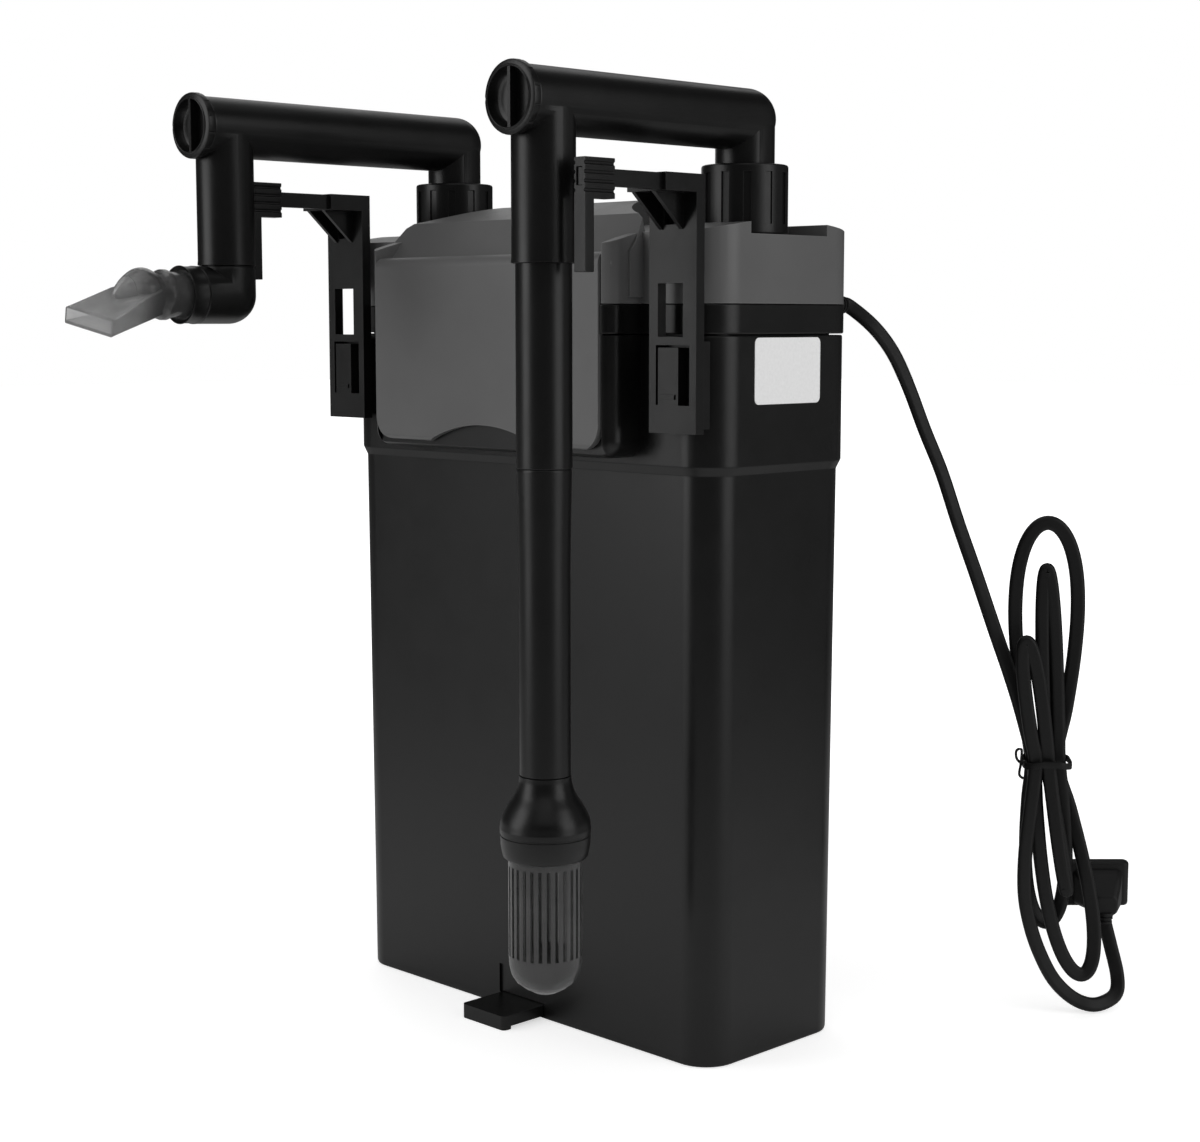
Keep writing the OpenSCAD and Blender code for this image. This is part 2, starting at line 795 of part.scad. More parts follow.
module hanger(x) {
    plate_back = hanger_front + hanger_t;
    left = -plate_w / 2;
    right = plate_w / 2;
    translate([x, 0, 0])
    difference() {
        union() {
            box([left, hanger_front, hanger_bottom], [right, plate_back, hanger_top]);
            // Arm root and the narrow arm that the hook slides on
            box([left + 5, rail_arm_y, hanger_top - arm_h], [right, plate_back, hanger_top]);
            box([rail_arm[0], rail_end_y, hanger_top - 7.2],
                [rail_arm[1], rail_arm_y + 1, hanger_top - 0.3]);
            // Two gussets under the arm
            for (g = [left + 6, 4])
                translate([g, 0, 0]) rotate([90, 0, 90]) linear_extrude(2)
                    polygon([[rail_arm_y + 1, hanger_top - arm_h], [hanger_front + 1, hanger_top - arm_h],
                             [hanger_front + 1, 369]]);
            // Jaws that slide on the barrel's rail
            for (s = [-1, 1]) {
                box([s * 10.4 - 2, plate_back - 1, 285], [s * 10.4 + 2, -50.2, 322]);
                box([s * 8.4 - 4, -51.8, 285], [s * 8.4 + 4, -50.2, 322]);
            }
        }
        // Window above, and the slots that free the detent tongue below
        box([-8.6, hanger_front - 1, 324], [6, plate_back + 1, 346.5]);
        box([-9.7, hanger_front - 1, 295], [-8.4, plate_back + 1, 320.5]);
        box([3.4, hanger_front - 1, 295], [9.8, plate_back + 1, 320.5]);
        box([-9.7, hanger_front - 1, 319.4], [9.8, plate_back + 1, 320.5]);
        // Hollow behind the gussets
        box([left + 9, hanger_front - 1, 371], [3.6, plate_back - 2, hanger_top - arm_h]);
    }
}

module left_hanger() { color(black_plastic) hanger(-hanger_x); }
module right_hanger() { color(black_plastic) hanger(hanger_x); }

module hook(x) {
    // Sliding clamp block with grip ridges and the leg that reaches down inside the tank
    hook_right = hook_left + hook_w;
    back = hook_y + hook_len;
    translate([x, 0, 0])
    difference() {
        union() {
            box([hook_left, hook_y, 379.2], [hook_right, back, 395.3]);
            box([hook_left, hook_y, 350], [hook_right, hook_y + 5.2, 380]);
        }
        box([rail_arm[0] - 0.15, hook_y - 1, hanger_top - 7.4],
            [rail_arm[1] + 0.15, back + 1, hanger_top - 0.1]);
        for (z = [382.5:3.6:394], side = [hook_left, hook_right])
            box([side - 0.5, hook_y + 2, z], [side + 0.5, back + 1, z + 1.4]);
    }
}

module left_hook() { color(black_plastic) hook(-hanger_x); }
module right_hook() { color(black_plastic) hook(hanger_x); }

// ---------------------------------------------------------------- mains lead

module cable_gland() {
    color(rubber_black)
    translate(cable_exit)
    difference() {
        union() {
            bar_y(0, 0, 4, -10, 8);
            bar_y(0, 0, 5.2, 0.1, 2);
            bar_y(0, 0, 4.9, -8.5, -6.5);
        }
        bar_y(0, 0, cable_r + 0.05, -12, 9);
    }
}

function lead_point(p) = [
    lead_origin[0] + p[0] * cos(lead_turn) - p[2] * sin(lead_turn),
    lead_origin[1] + p[0] * sin(lead_turn) + p[2] * cos(lead_turn),
    p[1]];

// Place of a strand in the bundle under the tie, counted in strands from its middle
function strand(i, j) = [tie_u + i * strand_gap[0], j * strand_gap[1]];

// Loop of lead that leaves the tie at strand a, reaches out to its tip and comes back at strand b
function loop(a, b, height, lean, half, out) = [
    for (i = [0:loop_steps - 1]) let (t = i / loop_steps, swell = sin(180 * t))
        [a[0] + (b[0] - a[0]) * t + lean * swell + half * sin(360 * t),
         tie_z + height * swell,
         a[1] + (b[1] - a[1]) * t + out * swell]];

lead_drop = [
    [6, 335, -8], [12, 328, -6], [21, 316, -3], [28, 300, 0], [35, 280, 0], [43, 260, 0], [52, 236, 0],
    [62, 212, 0], [72, 186, 0], [81, 161, 0], [87, 142, 0]];
coil = concat(
    loop(strand(-1, 0), strand(1, 1), -103, 18.5, -7.6, -7),
    loop(strand(1, 1), strand(-1, 1), 114, -1, 11.7, -2),
    loop(strand(-1, 1), strand(1, 0), -80, 3, -6, 3),
    loop(strand(1, 0), strand(0, 0), 92, -4.7, 1.5, 0),
    loop(strand(0, 0), strand(0, -1), -62, 10.5, 1, -2),
    loop(strand(0, -1), strand(-1, -1), 59, -9.5, 4.5, -4));
tail = [
    [92, 122, -5.5], [90, 100, -6], [88, 80, -6], [88, 60, -6], [91, 44, -6], [96, 30, -5.5], [103, 17, -5],
    [112, 8, -4.5], [121, 3.4, -4], [129, 3.6, -1], [135, 8, 2], [136, 16, 5], [133, 30, 8],
    [130.1, 41.2, 8.5]];
lead_way = concat(lead_drop, coil, tail);

module power_cable() {
    color(rubber_black) {
        translate(cable_exit) bar_y(0, 0, cable_r, -20, 12.2);
        hull() {
            translate(cable_exit + [0, 12, 0]) sphere(r = cable_r, $fn = 8);
            translate(lead_point(lead_way[0])) sphere(r = cable_r, $fn = 8);
        }
        for (i = [0:len(lead_way) - 2])
            hull()
                for (p = [lead_way[i], lead_way[i + 1]])
                    translate(lead_point(p)) sphere(r = cable_r, $fn = 8);
    }
}

module at_plug() { translate(lead_point(plug_at)) rotate(lead_turn) children(); }

module cable_tie() {
    color(rubber_black)
    translate(lead_point([tie_u, tie_z, 0])) rotate(lead_turn)
    difference() {
        slab(23, 21, 6, -2.2, 2.2);
        slab(20.4, 18.4, 5, -3, 3);
    }
}

module plug_body() {
    // Wide grip plate with a raised back that narrows into the strain relief
    color(rubber_black) at_plug()
    difference() {
        union() {
            hull() {
                translate([0, 6, 0]) slab(33, 8, 3, -10, 10);
                translate([0, 6, 0]) slab(29, 5, 2.4, -12, 12);
            }
            hull() {
                translate([2, 1, 0]) slab(22, 8, 3, -11, 6);
                translate([2.5, -7, 0]) slab(11, 9, 3, -12, -3);
            }
            translate([2.6, -7.5, 0]) bar_z(0, 0, 4.1, -15.5, -11);
        }
        for (s = [-1, 1]) box([s * blade_gap / 2 - 0.8, 4, -3.2], [s * blade_gap / 2 + 0.8, 12, 3.2]);
        translate([2.6, -7.5, 0]) bar_z(0, 0, cable_r + 0.3, -16, -12.6);
    }
}

module plug_blades() {
    color("#c9b26a") at_plug()
    for (s = [-1, 1]) box([s * blade_gap / 2 - 0.75, 4.2, -3.1], [s * blade_gap / 2 + 0.75, 27, 3.1]);
}

barrel();
rating_plate();
spacer_foot();
head_base();
head_cover();
cover_screws();
main_seal();
front_latch();
rear_latch();
latch_pins();
stator_core();
stator_coil();
rotor_magnet();
impeller();
rotor_shaft();
shaft_bushes();
impeller_cover();
inlet_drop_tube();
basket_lower();
basket_middle();
basket_upper();
coarse_sponge();
ceramic_media();
polishing_pad();
intake_union_nut();
outlet_union_nut();
pipe_orings();
intake_pipe();
intake_cap();
intake_mid_tube();
intake_low_tube();
strainer_neck();
strainer_cage();
outlet_pipe();
outlet_cap();
outlet_elbow();
nozzle_ring();
nozzle();
left_hanger();
right_hanger();
left_hook();
right_hook();
cable_gland();
power_cable();
cable_tie();
plug_body();
plug_blades();
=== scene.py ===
import json
import math

import bmesh
import bpy
from mathutils import Matrix, Vector


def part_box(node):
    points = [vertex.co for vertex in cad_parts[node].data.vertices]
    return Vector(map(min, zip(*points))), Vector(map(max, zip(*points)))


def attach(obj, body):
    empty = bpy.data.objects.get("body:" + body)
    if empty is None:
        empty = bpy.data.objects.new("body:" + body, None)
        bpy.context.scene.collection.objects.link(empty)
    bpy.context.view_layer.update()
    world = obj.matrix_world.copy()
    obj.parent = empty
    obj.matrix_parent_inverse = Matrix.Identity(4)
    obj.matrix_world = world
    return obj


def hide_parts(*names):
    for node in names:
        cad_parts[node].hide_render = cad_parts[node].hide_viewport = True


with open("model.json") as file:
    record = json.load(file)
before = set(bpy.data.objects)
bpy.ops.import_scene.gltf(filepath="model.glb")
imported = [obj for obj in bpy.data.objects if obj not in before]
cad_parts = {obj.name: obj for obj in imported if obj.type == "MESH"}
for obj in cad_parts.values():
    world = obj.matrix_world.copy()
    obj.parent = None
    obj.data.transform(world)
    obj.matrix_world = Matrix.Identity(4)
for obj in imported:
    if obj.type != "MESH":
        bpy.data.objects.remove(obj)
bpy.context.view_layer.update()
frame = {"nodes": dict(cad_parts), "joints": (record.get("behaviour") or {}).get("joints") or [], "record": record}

# Lengths below are in millimetres and become metres when a mesh is made.
MM = 0.001
ROUND = 96
X, Y, Z = Vector((1, 0, 0)), Vector((0, 1, 0)), Vector((0, 0, 1))

RECORD = frame["record"]
NODE_SLOT = {s["node"]: s["material_slot"] for s in RECORD["subparts"]}
NODE_BODY = {n: body for body, nodes in RECORD["behaviour"]["bodies"].items() for n in nodes}
JOINT_AT = {j["name"]: Vector(j["pos_m"]) / MM for j in frame["joints"] if "pos_m" in j}


def corners(node):
    """Lowest and highest corner of a CAD node, in millimetres."""
    low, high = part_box(node)
    return low / MM, high / MM


def centre(node):
    low, high = corners(node)
    return (low + high) / 2


# ---- mesh tools

def mesh_object(name, points, faces):
    mesh = bpy.data.meshes.new(name)
    mesh.from_pydata([Vector(p) * MM for p in points], [], faces)
    made = bmesh.new()
    made.from_mesh(mesh)
    bmesh.ops.recalc_face_normals(made, faces=made.faces)
    made.to_mesh(mesh)
    made.free()
    obj = bpy.data.objects.new(name, mesh)
    bpy.context.scene.collection.objects.link(obj)
    return obj


def loft(name, rings, closed=False):
    """Skin over rings with equal numbers of points. Open lofts get a cap at each end."""
    n, count = len(rings[0]), len(rings)
    faces = []
    for i in range(count if closed else count - 1):
        a, b = i * n, (i + 1) % count * n
        faces += [(a + j, a + (j + 1) % n, b + (j + 1) % n, b + j) for j in range(n)]
    if not closed:
        faces += [tuple(reversed(range(n))), tuple(range((count - 1) * n, count * n))]
    return mesh_object(name, [p for ring in rings for p in ring], faces)


def rounded(w, d, r, steps=8):
    """Rounded rectangle centred on the origin, anticlockwise."""
    points = []
    for k, (sx, sy) in enumerate(((1, 1), (-1, 1), (-1, -1), (1, -1))):
        points += arc(sx * (w / 2 - r), sy * (d / 2 - r), r, 90 * k, 90 * k + 90, steps)
    return points


def ring_z(w, d, r, z, x=0.0, y=0.0, steps=8):
    return [(x + px, y + py, z) for px, py in rounded(w, d, r, steps)]


def slab(w, d, r, z0, z1, x=0.0, y=0.0, edge=0.0, corner=8):
    """Upright block with rounded corners, and rounded upper and lower edges when edge is given."""
    rings = []
    steps = 5 if edge else 0
    for i in range(steps + 1):
        a = math.radians(90 * i / steps) if steps else 0
        inset, rise = edge * (1 - math.sin(a)), edge * (1 - math.cos(a))
        rings.append(ring_z(w - 2 * inset, d - 2 * inset, max(r - inset, 0.2), z0 + rise, x, y, corner))
    upper = [[(px, py, z0 + z1 - pz) for px, py, pz in ring] for ring in reversed(rings)]
    return loft("slab", rings + upper)


def box(a, b):
    """Block between two opposite corners, given in any order."""
    (x0, x1), (y0, y1), (z0, z1) = (sorted(pair) for pair in zip(a, b))
    points = [(x, y, z) for z in (z0, z1) for x, y in ((x0, y0), (x1, y0), (x1, y1), (x0, y1))]
    return loft("box", [points[:4], points[4:]])


def frame_of(axis):
    """Two directions across an axis."""
    side = X if abs(axis.dot(X)) < 0.9 else Y
    u = axis.cross(side).normalized()
    return u, axis.cross(u).normalized()


def lathe(name, profile, origin, axis=Z, closed=False, around=ROUND):
    """Turned part: profile is (radius, distance along the axis) pairs."""
    origin, axis = Vector(origin), Vector(axis)
    u, v = frame_of(axis)
    rings = []
    for r, h in profile:
        rings.append([origin + axis * h + (u * math.cos(t) + v * math.sin(t)) * r
                      for t in (2 * math.pi * i / around for i in range(around))])
    return loft(name, rings, closed)


def bar(start, end, r, around=ROUND):
    start, way = Vector(start), Vector(end) - Vector(start)
    return lathe("bar", [(r, 0), (r, way.length)], start, way.normalized(), around=around)


def upright(x, low, high, r, y=0, around=ROUND):
    """Upright round bar."""
    return bar((x, y, low), (x, y, high), r, around)


def ball_end(r, along):
    """Last part of a turned profile, for an end that is half a ball."""
    return arc(0, along, r, 4, 88, 21) + [(0.3, along + r)]


def tube_profile(r_out, r_in, h0, h1, edge=0.4):
    """Closed profile of a tube with small rounded rims."""
    return [(r_in, h0 + edge), (r_in + edge * 0.3, h0 + edge * 0.3), (r_in + edge, h0), (r_out - edge, h0),
            (r_out - edge * 0.3, h0 + edge * 0.3), (r_out, h0 + edge), (r_out, h1 - edge),
            (r_out - edge * 0.3, h1 - edge * 0.3), (r_out - edge, h1), (r_in + edge, h1),
            (r_in + edge * 0.3, h1 - edge * 0.3), (r_in, h1 - edge)]


def prism(outline, axis, start, end):
    """Extruded outline. For axis X the outline is (y, z), for Y it is (x, z), for Z it is (x, y)."""
    order = {"X": (2, 0, 1), "Y": (0, 2, 1), "Z": (0, 1, 2)}[axis]
    return loft("prism", [[tuple((a, b, t)[k] for k in order) for a, b in outline] for t in (start, end)])


def arc(cx, cy, r, start, end, steps):
    """Points along an arc between two angles in degrees."""
    angles = [math.radians(start + (end - start) * i / steps) for i in range(steps + 1)]
    return [(cx + r * math.cos(a), cy + r * math.sin(a)) for a in angles]


def modify(obj, kind, **settings):
    """Adds one modifier and applies it."""
    modifier = obj.modifiers.new(kind, kind)
    for key, value in settings.items():
        setattr(modifier, key, value)
    graph = bpy.context.evaluated_depsgraph_get()
    mesh = bpy.data.meshes.new_from_object(obj.evaluated_get(graph))
    obj.modifiers.clear()
    obj.data = mesh
    return obj


def combine(operation, obj, others):
    for other in others:
        modify(obj, "BOOLEAN", object=other, operation=operation, solver="EXACT")
        bpy.data.objects.remove(other)
    return obj


def fuse(obj, *others):
    return combine("UNION", obj, others)


def cut(obj, *others):
    return combine("DIFFERENCE", obj, others)


def common(obj, *others):
    return combine("INTERSECT", obj, others)


def moved(obj, offset):
    obj.data.transform(Matrix.Translation(Vector(offset) * MM))
    return obj


def turned(obj, degrees):
    """Turns a piece about the upright axis through the origin."""
    obj.data.transform(Matrix.Rotation(math.radians(degrees), 4, "Z"))
    return obj


def soften(obj, width, segments=2, angle=30):
    """Rounds every edge sharper than angle."""
    made = bmesh.new()
    made.from_mesh(obj.data)
    bmesh.ops.remove_doubles(made, verts=made.verts, dist=1e-6)
    bmesh.ops.dissolve_limit(made, angle_limit=math.radians(0.2), verts=made.verts, edges=made.edges)
    made.to_mesh(obj.data)
    made.free()
    return modify(obj, "BEVEL", width=width * MM, segments=segments, limit_method="ANGLE",
                  angle_limit=math.radians(angle), use_clamp_overlap=True, miter_outer="MITER_ARC")


def spline(points, steps):
    """Smooth curve through the points."""
    points = [Vector(p) for p in points]
    ends = [2 * points[0] - points[1]] + points + [2 * points[-1] - points[-2]]
    curve = []
    for p0, p1, p2, p3 in zip(ends, ends[1:], ends[2:], ends[3:]):
        for i in range(steps):
            t = i / steps
            curve.append(0.5 * (2 * p1 + (p2 - p0) * t + (2 * p0 - 5 * p1 + 4 * p2 - p3) * t * t
                                + (3 * p1 - p0 - 3 * p2 + p3) * t ** 3))
    return curve + [points[-1]]


def finish(obj, name, *nodes, smooth_angle=32):
    """Names a piece, stands it in for its CAD nodes, and gives it their body and material."""
    obj.name = obj.data.name = name
    slot = NODE_SLOT[nodes[0]]
    obj.data.materials.clear()
    obj.data.materials.append(MATERIALS[slot])
    obj.data.polygons.foreach_set("use_smooth", [True] * len(obj.data.polygons))
    obj.data.set_sharp_from_angle(angle=math.radians(smooth_angle))
    normals = obj.modifiers.new("normals", "WEIGHTED_NORMAL")
    normals.keep_sharp = True
    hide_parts(*nodes)
    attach(obj, NODE_BODY[nodes[0]])
    return obj


# ---- materials

def new_material(name):
    material = bpy.data.materials.new(name)
    material.use_nodes = True
    tree = material.node_tree
    shader = tree.nodes["Principled BSDF"] if "Principled BSDF" in tree.nodes else None
    if shader is None:
        shader = tree.nodes.new("ShaderNodeBsdfPrincipled")
        output = tree.nodes.new("ShaderNodeOutputMaterial")
        tree.links.new(shader.outputs[0], output.inputs[0])
    return material, tree, shader


def add(tree, kind, inputs=None, **settings):
    node = tree.nodes.new(kind)
    for key, value in settings.items():
        setattr(node, key, value)
    for key, value in (inputs or {}).items():
        if isinstance(value, bpy.types.NodeSocket):
            tree.links.new(value, node.inputs[key])
        else:
            node.inputs[key].default_value = value
    return node


def noise(tree, coords, scale, detail=3.0, roughness=0.55):
    return add(tree, "ShaderNodeTexNoise",
               {"Vector": coords, "Scale": scale, "Detail": detail, "Roughness": roughness}).outputs["Fac"]


def spread(tree, value, low, high):
    """Maps a noise value, which lies about 0.5, to a range."""
    node = add(tree, "ShaderNodeMapRange", {"Value": value, "From Min": 0.3, "From Max": 0.7,
                                            "To Min": low, "To Max": high})
    return node.outputs["Result"]


def tint(tree, factor, a, b):
    node = add(tree, "ShaderNodeMix", data_type="RGBA")
    for index, value in ((0, factor), (6, a), (7, b)):
        if isinstance(value, bpy.types.NodeSocket):
            tree.links.new(value, node.inputs[index])
        else:
            node.inputs[index].default_value = value
    return node.outputs[2]


def add_bump(tree, shader, height, strength, distance):
    """Bumps a material by a height value; distance is in millimetres."""
    bump = add(tree, "ShaderNodeBump", {"Height": height, "Strength": strength, "Distance": distance * MM})
    tree.links.new(bump.outputs["Normal"], shader.inputs["Normal"])


def edge_mask(tree, radius):
    """1 along edges tighter than radius, 0 on flats."""
    geometry = add(tree, "ShaderNodeNewGeometry")
    soft = add(tree, "ShaderNodeBevel", {"Radius": radius * MM}, samples=4)
    facing = add(tree, "ShaderNodeVectorMath",
                 {0: soft.outputs["Normal"], 1: geometry.outputs["Normal"]}, operation="DOT_PRODUCT")
    mask = add(tree, "ShaderNodeMapRange",
               {"Value": facing.outputs["Value"], "From Min": 0.995, "From Max": 0.86})
    return mask.outputs["Result"]


def grey(value):
    return (value, value, value, 1.0)


def moulded(name, base, roughness, grain=0.05, grain_size=0.35, wear=0.35, specular=0.5):
    """Moulded plastic: fine spark grain, drifting gloss, faint smears, and paler rubbed edges."""
    material, tree, shader = new_material(name)
    coords = add(tree, "ShaderNodeTexCoord").outputs["Object"]
    drift = noise(tree, coords, 9.0, 4.0)
    smear = noise(tree, coords, 42.0, 6.0, 0.7)
    grain_noise = noise(tree, coords, 1 / (grain_size * MM), 2.0)
    tone = tint(tree, spread(tree, drift, 0.0, 1.0), grey(base * 0.86), grey(base * 1.14))
    worn = tint(tree, 0.0, tone, grey(min(1.0, base * 2.4 + 0.02)))
    mask = add(tree, "ShaderNodeMath", {0: edge_mask(tree, 0.8), 1: spread(tree, smear, wear * 0.35, wear)},
               operation="MULTIPLY")
    tree.links.new(mask.outputs[0], worn.node.inputs[0])
    tree.links.new(worn, shader.inputs["Base Color"])
    gloss = add(tree, "ShaderNodeMath", {0: spread(tree, smear, roughness - 0.04, roughness + 0.05),
                                         1: spread(tree, grain_noise, -0.03, 0.03)}, operation="ADD")
    tree.links.new(gloss.outputs[0], shader.inputs["Roughness"])
    add_bump(tree, shader, grain_noise, 0.5, grain)
    shader.inputs["Specular IOR Level"].default_value = specular
    return material


def translucent(name, base, roughness, clear, fade=None):
    """Tinted see-through plastic with flow lines; fade is a Y span it darkens over, and how far."""
    material, tree, shader = new_material(name)
    coords = add(tree, "ShaderNodeTexCoord").outputs["Object"]
    flow = noise(tree, coords, 60.0, 5.0)
    tone = tint(tree, spread(tree, flow, 0.0, 1.0), grey(base * 0.85), grey(base * 1.2))
    if fade:
        along = add(tree, "ShaderNodeSeparateXYZ", {0: coords}).outputs["Y"]
        depth = add(tree, "ShaderNodeMapRange", {"Value": along, "From Min": fade[0] * MM,
                                                 "From Max": fade[1] * MM}, interpolation_type="SMOOTHSTEP")
        tone = tint(tree, depth.outputs["Result"], tone, grey(base * fade[2]))
    tree.links.new(tone, shader.inputs["Base Color"])
    tree.links.new(spread(tree, flow, roughness - 0.04, roughness + 0.06), shader.inputs["Roughness"])
    shader.inputs["Transmission Weight"].default_value = clear
    shader.inputs["IOR"].default_value = 1.46
    add_bump(tree, shader, noise(tree, coords, 220.0, 2.0), 0.3, 0.06)
    return material


def metal(name, colour, roughness, brush_scale=(900.0, 900.0, 30.0)):
    """Brushed or drawn metal: fine lines along one direction."""
    material, tree, shader = new_material(name)
    coords = add(tree, "ShaderNodeTexCoord").outputs["Object"]
    stretched = add(tree, "ShaderNodeMapping", {"Vector": coords, "Scale": brush_scale}).outputs["Vector"]
    lines = noise(tree, stretched, 1.0, 4.0)
    dark = tuple(c * 0.8 for c in colour) + (1.0,)
    tone = tint(tree, spread(tree, lines, 0.0, 1.0), dark, tuple(colour) + (1.0,))
    tree.links.new(tone, shader.inputs["Base Color"])
    tree.links.new(spread(tree, lines, roughness - 0.06, roughness + 0.08), shader.inputs["Roughness"])
    shader.inputs["Metallic"].default_value = 1.0
    add_bump(tree, shader, lines, 0.3, 0.02)
    return material


def porous(name, dark, light, cell, depth, roughness=0.9):
    """Open-cell foam, floss or unglazed ceramic: cells of a given size in millimetres."""
    material, tree, shader = new_material(name)
    coords = add(tree, "ShaderNodeTexCoord").outputs["Object"]
    cells = add(tree, "ShaderNodeTexVoronoi", {"Vector": coords, "Scale": 1 / (cell * MM)})
    cells = cells.outputs["Distance"]
    patches = noise(tree, coords, 120.0, 4.0)
    mixed = add(tree, "ShaderNodeMath", {0: cells, 1: spread(tree, patches, -0.15, 0.15)}, operation="ADD")
    tone = tint(tree, mixed.outputs[0], tuple(dark) + (1.0,), tuple(light) + (1.0,))
    tree.links.new(tone, shader.inputs["Base Color"])
    shader.inputs["Roughness"].default_value = roughness
    add_bump(tree, shader, cells, 0.8, depth)
    return material


def label_stock():
    """Blank rating plate: matt white film with a faint fibre."""
    material, tree, shader = new_material("label")
    coords = add(tree, "ShaderNodeTexCoord").outputs["Object"]
    fibre = noise(tree, coords, 700.0, 3.0)
    tone = tint(tree, spread(tree, fibre, 0.0, 1.0), grey(0.9), grey(0.96))
    tree.links.new(tone, shader.inputs["Base Color"])
    tree.links.new(spread(tree, fibre, 0.3, 0.42), shader.inputs["Roughness"])
    add_bump(tree, shader, fibre, 0.2, 0.02)
    return material


MATERIALS = {
    "black_plastic": moulded("black_plastic", 0.0035, 0.33),
    "grey_plastic": moulded("grey_plastic", 0.11, 0.4, grain=0.06, wear=0.3),
    "smoke_plastic": translucent("smoke_plastic", 0.5, 0.17, 0.72, (-200, -184, 0.32)),
    "dark_smoke": translucent("dark_smoke", 0.16, 0.18, 0.7),
    "rubber": moulded("rubber", 0.004, 0.5, grain=0.03, grain_size=0.5, wear=0.15, specular=0.4),
    "steel": metal("steel", (0.56, 0.57, 0.59), 0.3),
    "lamination": metal("lamination", (0.3, 0.31, 0.33), 0.45, (30.0, 30.0, 2500.0)),
    "coil": metal("coil", (0.5, 0.2, 0.09), 0.34, (30.0, 1800.0, 30.0)),
    "magnet": moulded("magnet", 0.02, 0.3),
    "ivory_plastic": moulded("ivory_plastic", 0.62, 0.3, wear=0.1),
    "ceramic": porous("ceramic", (0.78, 0.77, 0.72), (0.86, 0.85, 0.81), 0.3, 0.005, 0.25),
    "media_ceramic": porous("media_ceramic", (0.5, 0.44, 0.33), (0.78, 0.72, 0.6), 0.9, 0.2),
    "sponge": porous("sponge", (0.01, 0.03, 0.08), (0.07, 0.22, 0.42), 1.6, 0.9),
    "floss": porous("floss", (0.55, 0.56, 0.53), (0.86, 0.87, 0.84), 1.1, 0.5),
    "brass": metal("brass", (0.72, 0.56, 0.29), 0.25),
    "label": label_stock(),
}

for node_name, node_object in frame["nodes"].items():
    node_object.data.materials.clear()
    node_object.data.materials.append(MATERIALS[NODE_SLOT[node_name]])

# ---- barrel

COLLAR_D = 98.5
LEDGE_Z = 268
BLOCK_R = 8
BLOCK_W = 164
BLOCK_Z = 270.8
LATCH_HALF = 76.0
LATCH_GAP = 0.8
RECESS_HALF = LATCH_HALF + LATCH_GAP


def latch_block(side, top, half_depth):
    """Thick block behind a latch, with a rounded lower edge."""
    depth = half_depth - COLLAR_D / 2 + 2.6
    y = side * (half_depth - depth / 2)
    rings = []
    for i in range(9):
        a = math.radians(90 * i / 8)
        rise, inset = BLOCK_R * (1 - math.cos(a)), BLOCK_R * (1 - math.sin(a))
        rings.append(block_ring(BLOCK_W, depth, y, side, BLOCK_Z + rise, inset))
    rings.append(block_ring(BLOCK_W, depth, y, side, top - 0.6, 0))
    return loft("block", rings)


def latch_recess(side, low, high):
    """Space that a latch flap lies in, over a span of heights."""
    corners_xz = [(-RECESS_HALF, low), (RECESS_HALF, low), (RECESS_HALF, high), (-RECESS_HALF, high)]
    return prism(corners_xz, "Y", side * 66.0, side * 75.0)


def barrel():
    """Tapered canister with a ledge, a collar, two latch blocks, two rails and the housing of the foot."""
    low, high = corners("barrel")
    width, top, wall = high.x - low.x, high.z, 3.0
    outer = [(238, 89, 14.5, 0), (240.2, 91.2, 15.6, 0.4), (241, 92, 16, 1.4), (241.1, 92.1, 16, 4),
             (243.9, 94.9, 16.4, LEDGE_Z - 4.2), (244.3, 95.2, 16.5, LEDGE_Z - 3.6),
             (width - 0.5, COLLAR_D - 0.5, 18, LEDGE_Z - 0.5), (width, COLLAR_D, 18, LEDGE_Z + 0.3),
             (width, COLLAR_D, 18, LEDGE_Z + 4), (width, COLLAR_D, 18, top - 1.6),
             (width - 0.3, COLLAR_D - 0.3, 17.8, top - 1.0), (width - 1, COLLAR_D - 1, 17.4, top - 0.6)]
    inner_w, inner_d = 243 - 2 * wall, 94 - 2 * wall
    inner = [(inner_w + 0.6, inner_d + 0.6, 13.3, top - 0.6), (inner_w, inner_d, 13, top - 1.2),
             (inner_w, inner_d, 13, 6), (inner_w - 1.2, inner_d - 1.2, 12.4, 4.4),
             (inner_w - 4, inner_d - 4, 11, 4)]
    shell = loft("shell", [ring_z(w, d, r, z, steps=12) for w, d, r, z in outer + inner])
    fuse(shell, latch_block(-1, top, high.y), latch_block(1, top, high.y))
    for side in (-1, 1):
        cut(shell, latch_recess(side, BLOCK_Z - 3, top + 2))
        cut(shell, box((-20, side * 61.7, 297), (20, side * 66.5, 303.2)))
        rail_x = side * centre("right_hanger").x
        fuse(shell, box((rail_x - 4, -54, 285), (rail_x + 4, -48, 322)))
        fuse(shell, box((rail_x - 8, -54.6, 285), (rail_x + 8, -52.2, 322)))
    fuse(shell, box((-18, -45, 1), (18, 4, 9.6)))
    cut(shell, box((-15.4, -50, 1.3), (15.4, 1, 7.1)))
    cut(shell, box((-16, -50, 7), (16, -44.9, 21)))
    soften(shell, 0.5, 2, 38)
    return finish(shell, "barrel_moulding", "barrel")


def block_ring(w, depth, y, side, z, inset):
    """Outline of the thick block behind a latch: round outer corners, square inner ones."""
    half, out = w / 2 - inset, y + side * (depth / 2 - inset)
    back = y - side * depth / 2
    r = max(BLOCK_R - inset, 0.4)
    points = [(half, back)] + arc(half - r, out - side * r, r, 0, side * 90, 8)
    mirrored = [(-px, py) for px, py in reversed(points)]
    return [(px, py, z) for px, py in points + mirrored]


